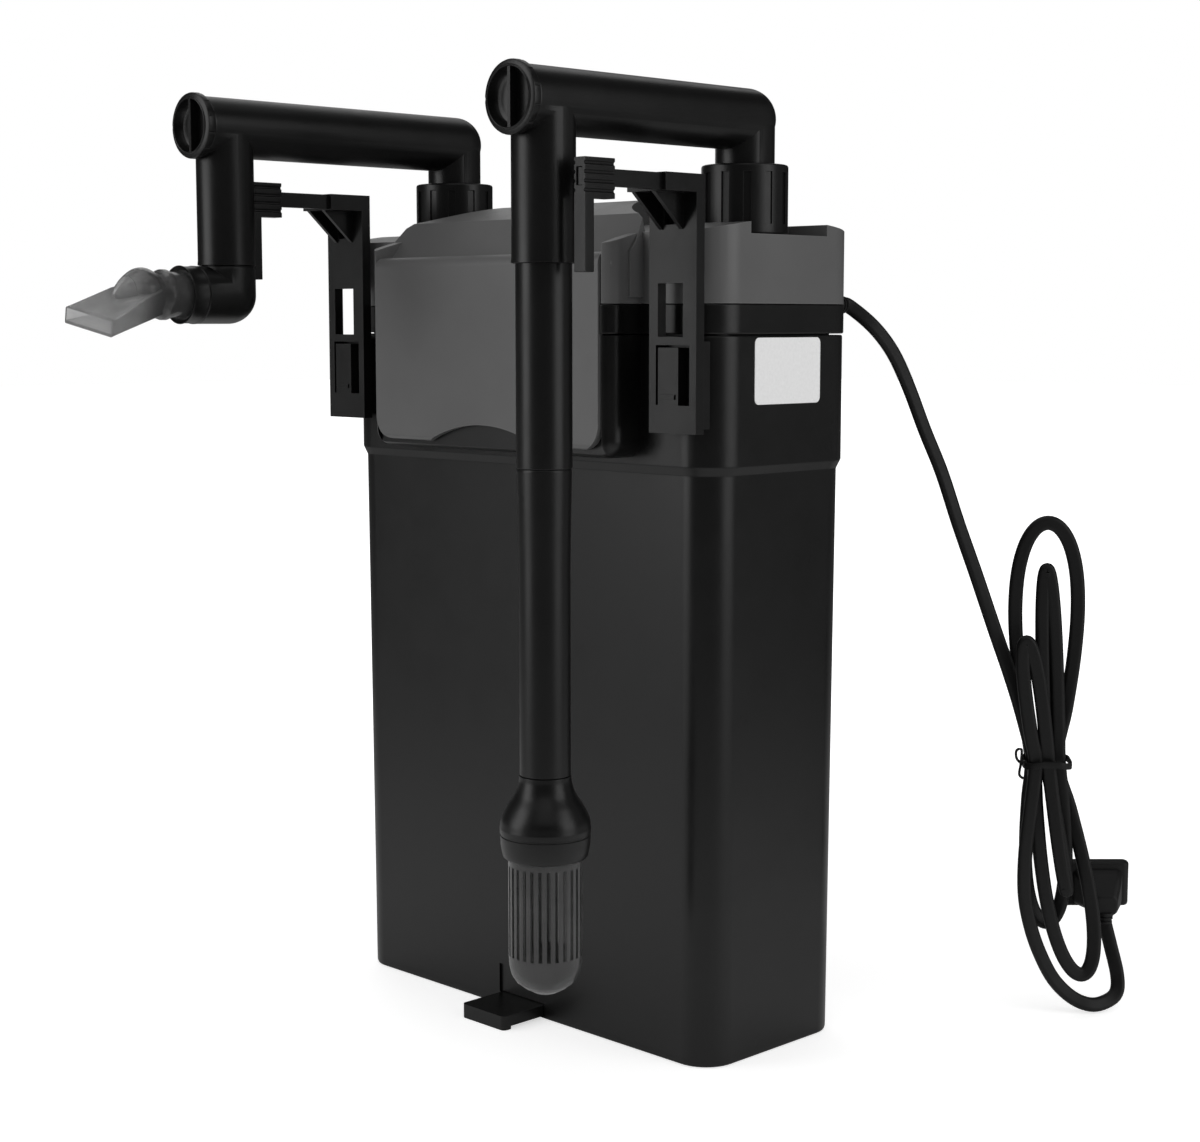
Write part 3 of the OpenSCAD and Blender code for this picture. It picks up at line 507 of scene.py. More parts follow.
def spacer_foot():
    """Drawer foot with a thick rounded lip at the front."""
    low, high = corners("spacer_foot")
    plate = slab(high.x - low.x, high.y - low.y, 2.5, 1.6, high.z, 0, (low.y + high.y) / 2)
    lip = slab(high.x - low.x, 6, 2.5, low.z, high.z, 0, low.y + 3)
    fuse(plate, lip)
    for x in (-9, 0, 9):
        cut(plate, box((x - 2.5, -62, 1), (x + 2.5, -52, 2.6)))
    soften(plate, 0.9, 3)
    return finish(plate, "foot_drawer", "spacer_foot")


def rating_plate():
    """Blank label with rounded corners and a thin raised border line."""
    low, high = corners("rating_plate")
    mid = (low + high) / 2
    outline = rounded(high.y - low.y, high.z - low.z, 2.6)
    steps = ((0, 1), (0.22, 1), (0.3, 0.994), (0.3, 0.95), (0.26, 0.945), (0.26, 0.93), (0.3, 0.925))
    rings = [[(low.x + t, mid.y + a * k, mid.z + b * k) for a, b in outline] for t, k in steps]
    return finish(loft("label", rings), "blank_label", "rating_plate", smooth_angle=50)


# ---- head

RIM_Z = 325.0
COVER_Z = 338.0
PUMP_X = -20.0
CHAMBER_Z = 308.0
DUCT_Z = 317.5
SOCKET_X = centre("outlet_cap").x


def riser(x, foot):
    """Upright spigot a pipe sits on, with its flange and its seal groove."""
    line = [(0.3, foot), (12, foot), (12, 360.8), (12.4, 361), (14.7, 361), (15, 361.3), (15, 364.4),
            (14.6, 364.8), (12.3, 364.8), (12, 365.1), (12, 369.4), (11.4, 370), (11.4, 383.5), (9.8, 383.5),
            (9.8, 386.5), (11.4, 386.5), (11.4, 391.4), (10.8, 392), (0.3, 392)]
    return lathe("riser", line, (x, 0, 0))


def head_rim():
    """Black rim under the cover, with its skirt, pump chamber, rotor well, duct and two risers."""
    rim = slab(249, 99.5, 18.5, RIM_Z, COVER_Z, edge=0.8, corner=14)
    fuse(rim, slab(BLOCK_W + 1, 139, BLOCK_R, RIM_Z, COVER_Z, edge=0.8))
    cut(rim, slab(241, 91.5, 14.5, RIM_Z + 3, COVER_Z + 2))
    skirt = cut(slab(236.4, 87.4, 12.7, 312, RIM_Z + 1), slab(231, 82, 10, 311, RIM_Z))
    cut(skirt, cut(slab(244, 95, 13, 316.8, 321.2), slab(232.4, 83.4, 10.7, 316, 322)))
    fuse(rim, skirt, upright(PUMP_X, CHAMBER_Z, RIM_Z + 1, 28), upright(PUMP_X, RIM_Z + 0.5, 362, 14),
         bar((SOCKET_X, 0, DUCT_Z), (PUMP_X, 0, DUCT_Z), 8), riser(SOCKET_X, CHAMBER_Z),
         riser(-SOCKET_X, 300))
    cut(rim, upright(PUMP_X, CHAMBER_Z - 1, RIM_Z, 25), upright(PUMP_X, RIM_Z - 0.5, 360, 12.2),
        bar((SOCKET_X, 0, DUCT_Z), (PUMP_X - 23, 0, DUCT_Z), 6), upright(SOCKET_X, CHAMBER_Z + 3, 393, 8),
        upright(-SOCKET_X, 299, 393, 8), upright(-SOCKET_X, 298, 312, 9.1))
    for side in (-1, 1):
        cut(rim, latch_recess(side, RIM_Z - 1, COVER_Z + 1))
        for x in (-62, 62):
            cut(rim, upright(x, RIM_Z - 1, RIM_Z + 4, 1.8, side * 36, 24))
    cut(rim, bar((108, 30, COVER_Z), (108, 60, COVER_Z), 4.1, 40))
    soften(rim, 0.3, 2, 40)
    return finish(rim, "rim_moulding", "head_base")


RIM_D = 99.5
SHOULDER_TOP = 374.5
CROWN_DROP = 5.5
DOME_HALF_D = 45.0
DOME_DROP = 8.5
DOME_HALF_W = 70.0
DOME_SLOPE = 14.0
SCOOP_R = 50.0
SOCKET_FLOOR = 368.0
NUT_R = 19.3
HINGE = JOINT_AT["front_latch_swing"]
KNUCKLE_R = 5.0
SOCKETS = (-centre("intake_pipe").x, centre("intake_pipe").x)


def crown(y):
    return SHOULDER_TOP - CROWN_DROP * (2 * y / RIM_D) ** 2


def cover_dome(top, span):
    """Raised middle of the cover, scooped out round each pipe socket."""
    foot = DOME_HALF_D + 13
    line = [(-foot, COVER_Z + 3), (-foot, 361)]
    line += [(DOME_HALF_D * i / 16, top - DOME_DROP * (i / 16) ** 2) for i in range(-16, 17)]
    line += [(foot, 361), (foot, COVER_Z + 3)]
    dome = prism(line, "X", -span / 2, span / 2)
    ends = DOME_HALF_W + DOME_SLOPE
    side_line = [(-ends, 330), (-ends, 366), (-DOME_HALF_W, 400)]
    side_line += [(-x, z) for x, z in reversed(side_line)]
    common(dome, prism(side_line, "Y", -90, 90))
    for x in SOCKETS:
        cut(dome, upright(x, 330, 420, SCOOP_R))
    return dome


def head_cover():
    """Grey cover: crowned shoulders, a dome, pipe sockets, and a hinge notch for each latch."""
    high = corners("head_cover")[1]
    span = 2 * high.x + 20
    form = slab(2 * high.x, RIM_D, 18.5, COVER_Z + 0.15, 400)
    fuse(form, slab(BLOCK_W + 1, 2 * high.y, BLOCK_R, COVER_Z + 0.15, 400))
    edge = high.y + 3
    arch = [(edge * i / 24, crown(edge * i / 24)) for i in range(-24, 25)]
    common(form, prism([(-edge, 300)] + arch + [(edge, 300)], "X", -span / 2, span / 2))
    half = RECESS_HALF
    for side in (-1, 1):
        deck = [(85, 359.2), (58.2, 360.8), (44.8, 377.4), (44.8, 420), (85, 420)]
        cut(form, prism([(side * y, z) for y, z in deck], "X", -half, half))
    fuse(form, cover_dome(high.z, span))
    for x in SOCKETS:
        out = math.copysign(1, x)
        cut(form, upright(x, SOCKET_FLOOR, 420, NUT_R + 1.6))
        cut(form, box((out * 102, -25.5, SOCKET_FLOOR), (out * 140, 25.5, 420)))
        cut(form, upright(x, 320, 366, 16), upright(x, 320, 420, 12.4))
    cut(form, slab(236, 87, 12, 320, 357))
    cut(form, slab(150, 76, 8, 350, 366))
    for side in (-1, 1):
        hinge_y = -side * HINGE.y
        cut(form, bar((-half, hinge_y, HINGE.z), (half, hinge_y, HINGE.z), KNUCKLE_R + 0.6))
        cut(form, box((-half, hinge_y, 320), (half, side * 90, HINGE.z + 40)))
        cut(form, bar((-half - 3.7, hinge_y, HINGE.z), (half + 3.7, hinge_y, HINGE.z), 1.5, 24))
    entry = centre("cable_gland")
    cut(form, bar((entry.x, 30, COVER_Z), (entry.x, 60, COVER_Z), 4.1, 32))
    soften(form, 0.9, 3, 24)
    return finish(form, "cover_moulding", "head_cover")


def latch(name, node, side):
    """Flap with a rolled top edge round its pin, a turned-in lower lip, a finger arch and a catch."""
    low = corners(node)[0]
    face, back = -70.0, -66.5
    line = [(back, low.z), (face + 2.6, low.z)]
    line += arc(face + 2.6, low.z + 2.6, 2.6, 270, 180, 6)
    line += arc(HINGE.y, HINGE.z, KNUCKLE_R, 180, -90, 30)
    line += [(back + 1.2, HINGE.z - KNUCKLE_R - 0.4), (back, HINGE.z - KNUCKLE_R - 2)]
    flap = prism(line, "X", -LATCH_HALF, LATCH_HALF)
    arch_r = 88.0
    cut(flap, bar((0, -80, low.z + 8.6 - arch_r), (0, -60, low.z + 8.6 - arch_r), arch_r, 256))
    for x in (-1, 1):
        corner_x, r = x * (LATCH_HALF - 11), 11.0
        notch = [(x * (LATCH_HALF + 1), low.z - 1), (x * (LATCH_HALF + 1), low.z + r)]
        notch += arc(corner_x, low.z + r, r, 90 - 90 * x, 90 - 180 * x, 15) + [(corner_x, low.z - 1)]
        cut(flap, prism(notch, "Y", -80, -60))
    fuse(flap, box((-18.5, back - 0.6, 299.5), (18.5, -62.2, 302.9)))
    for x in (-48, -24, 24, 48):
        fuse(flap, box((x - 0.9, back - 0.5, 290), (x + 0.9, -66.15, 345)))
    cut(flap, bar((-90, HINGE.y, HINGE.z), (90, HINGE.y, HINGE.z), 1.6, 32))
    soften(flap, 0.6, 3, 35)
    if side > 0:
        turned(flap, 180)
    return finish(flap, name, node)


# ---- pipes

PIPE_Z = JOINT_AT["intake_cap_twist"].z
LEVEL_R = 13.6
UPRIGHT_R = 13.2


def over_pipe(name, node, leg_z, leg_y, end_y):
    """Riser, level pipe and down leg; the level pipe ends in a round elbow over the riser."""
    x = centre(node).x
    foot_z = 372.0
    line = [(LEVEL_R - 0.8, 0), (LEVEL_R - 0.2, 0.2), (LEVEL_R, 0.8), (LEVEL_R, -end_y)]
    pipe = lathe("pipe", line + ball_end(LEVEL_R, -end_y), (x, end_y, PIPE_Z), Y)
    foot = [(UPRIGHT_R - 0.7, 0), (UPRIGHT_R, 0.7), (UPRIGHT_R, PIPE_Z - foot_z)]
    fuse(pipe, lathe("foot", foot, (x, 0, foot_z), Z))
    leg = [(UPRIGHT_R - 0.6, 0), (UPRIGHT_R + 0.15, 0.25), (UPRIGHT_R + 0.15, 1.2), (UPRIGHT_R, 2.2),
           (UPRIGHT_R, PIPE_Z - leg_z)]
    fuse(pipe, lathe("leg", leg, (x, leg_y, leg_z), Z))
    bore_r = UPRIGHT_R - 1.5
    cut(pipe, bar((x, end_y - 1, PIPE_Z), (x, 0, PIPE_Z), LEVEL_R - 2))
    cut(pipe, upright(x, foot_z - 1, PIPE_Z, bore_r), upright(x, leg_z - 1, PIPE_Z, bore_r, leg_y))
    return finish(pipe, name, node, smooth_angle=30)


def pipe_cap(name, node):
    """Bayonet cap: thick rim, dished face, one grip rib across it and a small notch in the rim."""
    low, high = corners(node)
    x, z, face = (low.x + high.x) / 2, (low.z + high.z) / 2, low.y
    r = (high.x - low.x) / 2
    dish = [(0.3, 5.0), (8.6, 4.9), (10.4, 4.3), (11.4, 2.9), (11.75, 1.3), (12.0, 0.15), (12.3, 0),
            (12.6, 0.15), (12.75, 0.6), (13.2, 0.75)]
    rim = [(r - 0.9, 0.9), (r - 0.25, 1.2), (r, 1.8), (r, 4.2), (r - 0.3, 4.7), (r - 0.9, 4.9)]
    spigot = [(12.6, 4.95), (12.6, 5.5), (11.35, 5.5), (11.35, 12.5), (10.9, 13.2), (9.6, 13.2), (9.5, 12.6),
              (9.5, 7), (0.3, 6.6)]
    cap = lathe("cap", dish + rim + spigot, (x, face, z), Y)
    rib = prism([(-0.8, -12.1), (0.8, -12.1), (0.8, 12.1), (-0.8, 12.1)], "Y", 0.7, 5.2)
    common(rib, prism(arc(0, 0, 12.2, 0, 360, 48)[:-1], "Y", 0.3, 6))
    fuse(cap, moved(rib, (x, face, z)))
    cut(cap, bar((x - r - 0.3, face - 1, z), (x - r - 0.3, face + 2.6, z), 1.1, 24))
    for gx, gz in arc(x, z, r + 0.35, 15, 345, 11):
        cut(cap, bar((gx, face + 1.6, gz), (gx, face + 6, gz), 0.75, 12))
    soften(cap, 0.25, 2, 40)
    return finish(cap, name, node)


def union_nut(name, node):
    """Clamp nut with six broad grip flats between raised ribs and a rounded top."""
    low, high = corners(node)
    x, r = (low.x + high.x) / 2, (high.x - low.x) / 2
    height = high.z - low.z
    line = tube_profile(r, UPRIGHT_R + 0.3, 0, height, 1.0)
    nut = lathe("nut", line, (x, 0, low.z), closed=True, around=128)
    for i in range(12):
        a = 15 + 30 * i
        slot_box = box((r - 0.8, -1.7, 4.5), (r + 2, 1.7, height - 3.5))
        cut(nut, moved(turned(slot_box, a), (x, 0, low.z)))
    soften(nut, 0.35, 2, 40)
    return finish(nut, name, node)


def turned_tube(name, node, wall):
    """Plain round tube with small rounded rims."""
    low, high = corners(node)
    mid = (low + high) / 2
    r = (high.x - low.x) / 2
    line = tube_profile(r, r - wall, 0, high.z - low.z, 0.45)
    tube = lathe(name, line, (mid.x, mid.y, low.z), closed=True)
    return finish(tube, name, node)


def low_tube():
    """Lower tube that widens a little towards the seam, with a spigot at each end."""
    low, high = corners("intake_low_tube")
    mid = (low + high) / 2
    seam = corners("intake_mid_tube")[0].z
    foot = corners("strainer_neck")[1].z - low.z
    r = 10.7
    lower = [(r - 2.6, 0), (r - 1.2, 0), (r - 1.2, foot - 0.2), (r - 0.4, foot), (r, foot + 0.5)]
    upper = [(0, -40), (0.2, -28), (0.65, -1.2), (0.6, -0.6), (0.3, -0.1), (-0.8, -0.1), (-0.8, 15.5),
             (-1.2, 16), (-2.6, 16)]
    line = lower + [(r + wider, seam - low.z + rise) for wider, rise in upper]
    tube = lathe("tube", line, (mid.x, mid.y, low.z), closed=True)
    return finish(tube, "intake_lower_pipe", "intake_low_tube")


def strainer_neck():
    """Bulb that grips the lower tube, with a joint line above its skirt."""
    low, high = corners("strainer_neck")
    mid = (low + high) / 2
    drop = [(10.9, 0), (11.2, 3), (12.7, 7.5), (15.9, 12.5), (18.4, 17.6), (19.2, 22.2)]
    height = high.z - low.z
    bulb = [(p.x, height - p.y) for p in spline([(r, d, 0) for r, d in drop], 10)]
    skirt = [(19.05, 24.2), (18.6, 24.5), (18.6, 25), (18.95, 25.3), (18.8, 29), (18.2, 32.4), (17.8, 34)]
    line = bulb + [(r, height - d) for r, d in skirt]
    line += [(17.0, 0), (15.2, 0), (15.2, 9.2), (13, 16), (9.6, 22), (9.6, height)]
    neck = lathe("neck", line, (mid.x, mid.y, low.z), closed=True)
    return finish(neck, "strainer_bulb", "strainer_neck", smooth_angle=40)


def strainer_cage():
    """Ribbed see-through basket: rounded shoulder, shallow pointed floor and a ring of open slots."""
    low, high = corners("strainer_cage")
    mid = (low + high) / 2
    r, wall, top = 15.75, 1.5, high.z - low.z
    outer = [(0.3, 0), (5, 1.1), (9.6, 3.6), (10.6, 4.6), (12.6, 6.0), (14.6, 9.4), (15.5, 13.4), (r, 17.5)]
    outer += [(r, top - 6.3), (14.95, top - 6.2), (14.95, top)]
    inner = [(r - wall - 0.4, top), (r - wall, top - 8), (r - wall, 18), (13.2, 11.5), (10.2, 7.2)]
    inner += [(5, 3.2), (0.3, 2)]
    cage = lathe("cage", outer + inner, (mid.x, mid.y, low.z), Z, around=112)
    slots = 28
    for i in range(slots):
        opening = box((11.5, -0.8, 17.8), (20, 0.8, top - 9))
        cut(cage, moved(turned(opening, 360 * i / slots), (mid.x, mid.y, low.z)))
    soften(cage, 0.22, 2, 40)
    return finish(cage, "strainer_basket", "strainer_cage")


def outlet_elbow():
    """Elbow whose horizontal arm ends in a round heel under the down leg."""
    axis = JOINT_AT["outlet_bend_swivel"]
    high = corners("outlet_elbow")[1]
    end = corners("nozzle_ring")[1].y + 0.1
    r = UPRIGHT_R
    reach = axis.y - end
    line = [(0.3, -3.0), (11.6, -3.0), (12.0, -2.8), (12.2, -2.4), (12.2, -0.1), (r - 0.3, 0), (r, 0.4)]
    elbow = lathe("elbow", line + [(r, reach)] + ball_end(r, reach), (axis.x, end, axis.z), Y)
    leg_z = corners("outlet_pipe")[0].z - axis.z
    top = high.z - axis.z
    stem = [(r, 0), (r, leg_z - 1.8), (r - 0.7, leg_z - 0.4), (11.4, leg_z - 0.3), (11.4, top - 0.6),
            (10.8, top)]
    fuse(elbow, lathe("stem", stem, axis, Z))
    cut(elbow, bar(axis, (axis.x, axis.y, high.z + 2), 9.8), bar((axis.x, end - 6, axis.z), axis, 9.8))
    return finish(elbow, "outlet_bend_moulding", "outlet_elbow", smooth_angle=30)


def nozzle_ring():
    """Ring whose front edge flares out like a shallow bell."""
    axis = JOINT_AT["nozzle_ring_turn"]
    low, high = corners("nozzle_ring")
    back = high.y - low.y
    line = [(12.4, back), (13.1, back), (13.3, back - 0.3), (13.3, back - 1.4), (13.05, back - 1.8)]
    line += [(12.95, 3.4), (13.0, 1.6), (13.15, 0.7), (13.35, 0.2), (13.25, 0), (13.0, 0), (12.4, 0.8),
             (11.9, 1.2), (11.5, 1.3), (11.5, 1.7), (12.4, 1.8)]
    ring = lathe("ring", line, (axis.x, low.y, axis.z), Y, closed=True)
    soften(ring, 0.12, 2, 40)
    return finish(ring, "nozzle_lock_ring", "nozzle_ring")


def bill_mouth(axis, w, h, y, drop, roll, r):
    """Rounded rectangle across the flat bill, turned a little about the nozzle's axis."""
    c, s = math.cos(math.radians(roll)), math.sin(math.radians(roll))
    return [(axis.x + a * c + b * s, y, axis.z - drop - a * s + b * c) for a, b in rounded(w, h, r, 4)]


def nozzle_form(axis, tip, gap):
    """Outer form of the nozzle when gap is 0, or its bore when gap is the wall thickness."""
    root = Vector((axis.x, tip + 44, axis.z))
    back = corners("nozzle")[1].y - root.y
    swell = [(9.6, -9.8), (10.2, -11.2), (11.5, -13.6), (12.1, -16.4), (11.6, -19.4), (10.2, -22),
             (8.4, -24.5), (6.3, -26.9), (4.1, -29), (2.1, -30.7), (0.3, -31.5)]
    curve = spline([(*q, 0) for q in swell], 3)
    swell = [(max(p.x - gap, 0.25), p.y + (gap if p.y < -24 else 0)) for p in curve]
    if gap:
        throat = [(9.3, back + 2), (9.3, -9.4)]
    else:
        throat = [(12.15, back), (12.15, back - 3.2), (10.4, back - 3.3), (10.4, -2.6), (10.7, -3.3),
                  (11.2, -3.8), (11.45, -4.6), (11.45, -6.4), (11.2, -7.2), (10.5, -8.2), (9.8, -9.1)]
    bulb = lathe("bulb", throat + swell, root, Y)
    r = max(0.9 - gap, 0.12)
    start = tip - (2 if gap else 0)
    rings = [bill_mouth(axis, w - 2 * gap, h - 2 * gap, y, drop, roll, r) for w, h, y, drop, roll in (
        (39.2, 7.5, start, 12.2, 9.5), (38.2, 7.7, tip + 3, 11.1, 9.5), (31.0, 11.4, tip + 21, 4.4, 8.5),
        (24.0, 12.0, tip + 31, 2.2, 6.5))]
    return fuse(bulb, loft("bill", rings))


def nozzle():
    """Beaded neck, a blunt bulb, and a flat sharp-edged bill that grows out of it."""
    axis = JOINT_AT["nozzle_roll"]
    tip = corners("nozzle")[0].y
    shell = nozzle_form(axis, tip, 0)
    cut(shell, nozzle_form(axis, tip, 1.0))
    soften(shell, 0.2, 2, 38)
    return finish(shell, "nozzle_duckbill", "nozzle", smooth_angle=28)


# ---- hangers

RAIL_ARM = (8.3, 11.3)


def hanger(name, node):
    """Plate with window, detent tongue, gusseted arm root and the arm that the hook slides on."""
    low, high = corners(node)
    x = (low.x + high.x) / 2
    half = (high.x - low.x) / 2
    front, back, top, bottom = -60.3, -55.3, high.z, low.z
    root_y, end_y = -79.0, low.y
    plate = box((-half, front, bottom), (half, back, top))
    fuse(plate, box((-half + 5, root_y, top - 7.5), (half, back - 1, top)))
    fuse(plate, box((RAIL_ARM[0], end_y, top - 7.2), (RAIL_ARM[1], root_y + 1, top - 0.3)))
    for g in (-half + 6, 4):
        gusset = [(root_y + 1, top - 7), (front + 1, top - 7), (front + 1, top - 22.5),
                  (front - 0.4, top - 22.5)]
        fuse(plate, prism(gusset, "X", g, g + 2))
    for side in (-1, 1):
        fuse(plate, box((side * 10.4 - 2, back - 1, 285), (side * 10.4 + 2, -50.2, 322)))
        fuse(plate, box((side * 8.4 - 4, -51.8, 285), (side * 8.4 + 4, -50.2, 322)))
    cut(plate, box((-8.6, front - 1, 324), (6, back + 1, 346.5)))
    cut(plate, box((-9.7, front - 1, 295), (-8.4, back + 1, 320.5)))
    cut(plate, box((3.4, front - 1, 295), (9.8, back + 1, 320.5)))
    cut(plate, box((-9.7, front - 1, 319.4), (9.8, back + 1, 320.5)))
    cut(plate, box((-half + 9, front - 1, 371), (3.6, back - 2, top - 7.5)))
    fuse(plate, box((-6.4, front - 0.7, 297.5), (1.6, front + 1, 299.5)))
    moved(plate, (x, 0, 0))
    soften(plate, 0.45, 2)
    return finish(plate, name, node)


def hook(name, node):
    """Clamp block with wrap-round grip ridges and the leg that goes down inside the tank."""
    low, high = corners(node)
    front, back = low.y, high.y
    leg_top, block_z = 381.0, 379.2
    block = box((low.x, front, block_z), (high.x, back, high.z))
    fuse(block, box((low.x, front, low.z), (high.x, front + 5.2, leg_top)))
    ridge_z = block_z + 3.0
    while ridge_z < high.z - 1.5:
        for side_x in (low.x, high.x):
            cut(block, bar((side_x, front - 1, ridge_z), (side_x, back + 1, ridge_z), 0.7, 16))
        ridge_z += 3.6
    plate = corners("left_hanger" if node == "left_hook" else "right_hanger")
    arm_top = plate[1].z
    arm_x = (plate[0].x + plate[1].x) / 2
    cut(block, box((arm_x + RAIL_ARM[0] - 0.15, front - 1, arm_top - 7.4),
                   (arm_x + RAIL_ARM[1] + 0.15, back + 1, arm_top - 0.1)))
    soften(block, 0.4, 2, 35)
    return finish(block, name, node)


# ---- mains lead

LEAD_TURN = math.radians(45.2)
LEAD_ORIGIN = (104.8, 64.2)
TIE_U, TIE_Z = 98.0, 122.0
STRAND_GAP = (6.0, 5.5)


def lead_point(u, z, w):
    """A point of the upright plane that the spare lead is coiled in."""
    c, s = math.cos(LEAD_TURN), math.sin(LEAD_TURN)
    return Vector((LEAD_ORIGIN[0] + u * c - w * s, LEAD_ORIGIN[1] + u * s + w * c, z))


def lead_loop(a, b, height, lean, half, out, steps=14):
    """Loop of lead from strand a of the tied bundle out to its tip and back at strand b."""
    au, aw, bu, bw = (TIE_U + a[0] * STRAND_GAP[0], a[1] * STRAND_GAP[1],
                      TIE_U + b[0] * STRAND_GAP[0], b[1] * STRAND_GAP[1])
    way = []
    for i in range(steps):
        t = i / steps
        swell = math.sin(math.pi * t)
        way.append((au + (bu - au) * t + lean * swell + half * math.sin(2 * math.pi * t),
                    TIE_Z + height * swell, aw + (bw - aw) * t + out * swell))
    return way


def power_cable():
    """Flat lead from the gland, down to the tied coil, and round under it up to the plug."""
    gland = centre("cable_gland")
    start = [(gland.x, 52, gland.z), (gland.x, 57, gland.z), (gland.x + 0.6, 61.5, gland.z - 0.6)]
    drop = [(12, 328, -6), (21.6, 316, -3), (29.6, 300, 0), (37.4, 280, 0), (45.8, 260, 0), (54, 236, 0),
            (62.8, 212, 0), (72, 186, 0), (81, 161, 0), (87, 142, 0)]
    coil = lead_loop((-1, 0), (1, 1), -103, 18.5, -7.6, -7)
    coil += lead_loop((1, 1), (-1, 1), 114, -1, 11.7, -2)
    coil += lead_loop((-1, 1), (1, 0), -80, 3, -6, 3)
    coil += lead_loop((1, 0), (0, 0), 92, -4.7, 1.5, 0, 20)
    coil += lead_loop((0, 0), (0, -1), -62, 10.5, 1, -2, 16)
    coil += lead_loop((0, -1), (-1, -1), 59, -9.5, 2, -4)
    tail = [(92, 122, -5.5), (90, 100, -6), (88, 80, -6), (88, 60, -6), (91, 44, -6), (96, 30, -5.5),
            (103, 17, -5), (112, 8, -4.5), (121, 4.1, -4), (129, 4.4, -1), (135, 8, 2), (136, 16, 5),
            (133, 30, 8), (130.1, 41.2, 8.5), (130.1, 44, 8.5)]
    way = spline(start + [lead_point(*p) for p in drop + coil + tail], 5)
    out = lead_point(0, 0, 1) - lead_point(0, 0, 0)
    rings, run = [], 0.0
    for i, point in enumerate(way):
        ahead, behind = way[min(i + 1, len(way) - 1)], way[max(i - 1, 0)]
        run += (point - behind).length
        along = (ahead - behind).normalized()
        flat = along.cross(out).normalized()
        thick = flat.cross(along).normalized()
        twist = math.radians(12 + 14 * math.sin(run / 55.0))
        wide = flat * math.cos(twist) + thick * math.sin(twist)
        narrow = thick * math.cos(twist) - flat * math.sin(twist)
        rings.append([point + wide * a + narrow * b for a, b in twin_core()])
    return finish(loft("lead", rings), "mains_lead", "power_cable", smooth_angle=60)


def twin_core():
    """Outline of the flat two-core lead: two round cores joined by a narrower web."""
    core_r, offset = 1.85, 1.6
    points = []
    for side in (1, -1):
        points += [(side * x, side * y) for x, y in arc(offset, 0, core_r, -100, 100, 8)]
    return points


def cable_tie():
    """Twist tie: a flat band pulled round the bundle and a loop of its twisted ends."""
    section = ((0, -1.6), (0.45, -1.5), (0.6, 0), (0.45, 1.5), (0, 1.6), (-0.35, 1.5), (-0.35, -1.5))
    rings = []
    for a, b in rounded(22.4, 20.2, 7.5, 10):
        base = Vector((a, b, 0))
        normal = base.normalized()
        sag = 0.8 * math.sin(3 * math.atan2(b, a))
        ring = []
        for du, dz in section:
            spot = base + normal * du
            ring.append(lead_point(TIE_U + spot.x, TIE_Z + dz + sag, spot.y))
        rings.append(ring)
    band = loft("band", rings, closed=True)
    ends = spline([(86.4, 121, -1), (83.6, 124, -2), (83.2, 128, -3), (85.4, 128.6, -4), (85.2, 122, -4),
                   (84.4, 117, -5), (86.2, 115, -5.5)], 6)
    ends = [lead_point(*p) for p in ends]
    rings = []
    for i, point in enumerate(ends):
        along = (ends[min(i + 1, len(ends) - 1)] - ends[max(i - 1, 0)]).normalized()
        u, v = frame_of(along)
        rings.append([point + (u * math.cos(t) + v * math.sin(t)) * 0.65
                      for t in (2 * math.pi * k / 10 for k in range(10))])
    fuse(band, loft("ends", rings))
    return finish(band, "twist_tie", "cable_tie", smooth_angle=40)


PLUG_AT = (127.5, 57.0, 16.0)  # along, up and out in the plane of the coil


def at_plug(obj):
    """Turns a piece made about the plug's own origin into place."""
    turned(obj, math.degrees(LEAD_TURN))
    return moved(obj, lead_point(*PLUG_AT))


def plug_body():
    """Two-blade plug: rounded grip plate, raised back that narrows to a ribbed strain relief."""
    plate = slab(33, 7.6, 3.2, -10.5, 11.5, 0, 6, edge=1.6)
    face = slab(30.5, 1.6, 0.7, -9.3, 10.3, 0, 10.2, edge=0.6)
    fuse(plate, face)
    rings = []
    for y, w, z0, z1, x in ((4, 25, -9.5, 8.5, 0.6), (0.5, 23, -9.8, 7.6, 1.0), (-3.5, 19, -10.4, 4.5, 1.8),
                            (-7.5, 14, -11.4, 0.0, 2.3), (-10.2, 11, -12, -2.6, 2.5)):
        mid, height = (z0 + z1) / 2, z1 - z0
        rings.append([(x + a, y, mid + b) for a, b in rounded(w, height, min(3.0, height / 2.5), 6)])
    hump = loft("hump", rings)
    soften(hump, 0.9, 3, 40)
    fuse(plate, hump)
    for z in (4.6, 1.6, -1.4):
        cut(plate, box((-6, -4.4 - (1.6 - z) * 0.9, z), (9, -1.2 - (1.6 - z) * 0.9, z + 1.1)))
    relief = [(0.3, 0), (3.0, 0), (3.5, 0.4), (3.5, 1.3), (2.95, 1.5), (2.95, 2.2), (3.75, 2.4),
              (3.75, 3.3), (3.2, 3.5), (3.2, 4.0), (4.1, 4.2), (4.1, 5.6), (0.3, 5.6)]
    fuse(plate, lathe("relief", relief, (2.6, -7.5, -16.2), Z, around=40))
    cut(plate, bar((2.6, -7.5, -18), (2.6, -7.5, -13), 2.95, 32))
    for side in (-1, 1):
        cut(plate, box((side * 6.35 - 0.85, 5, -3.3), (side * 6.35 + 0.85, 14, 3.3)))
    soften(plate, 0.3, 2, 42)
    return finish(at_plug(plate), "plug_moulding", "plug_body", smooth_angle=36)


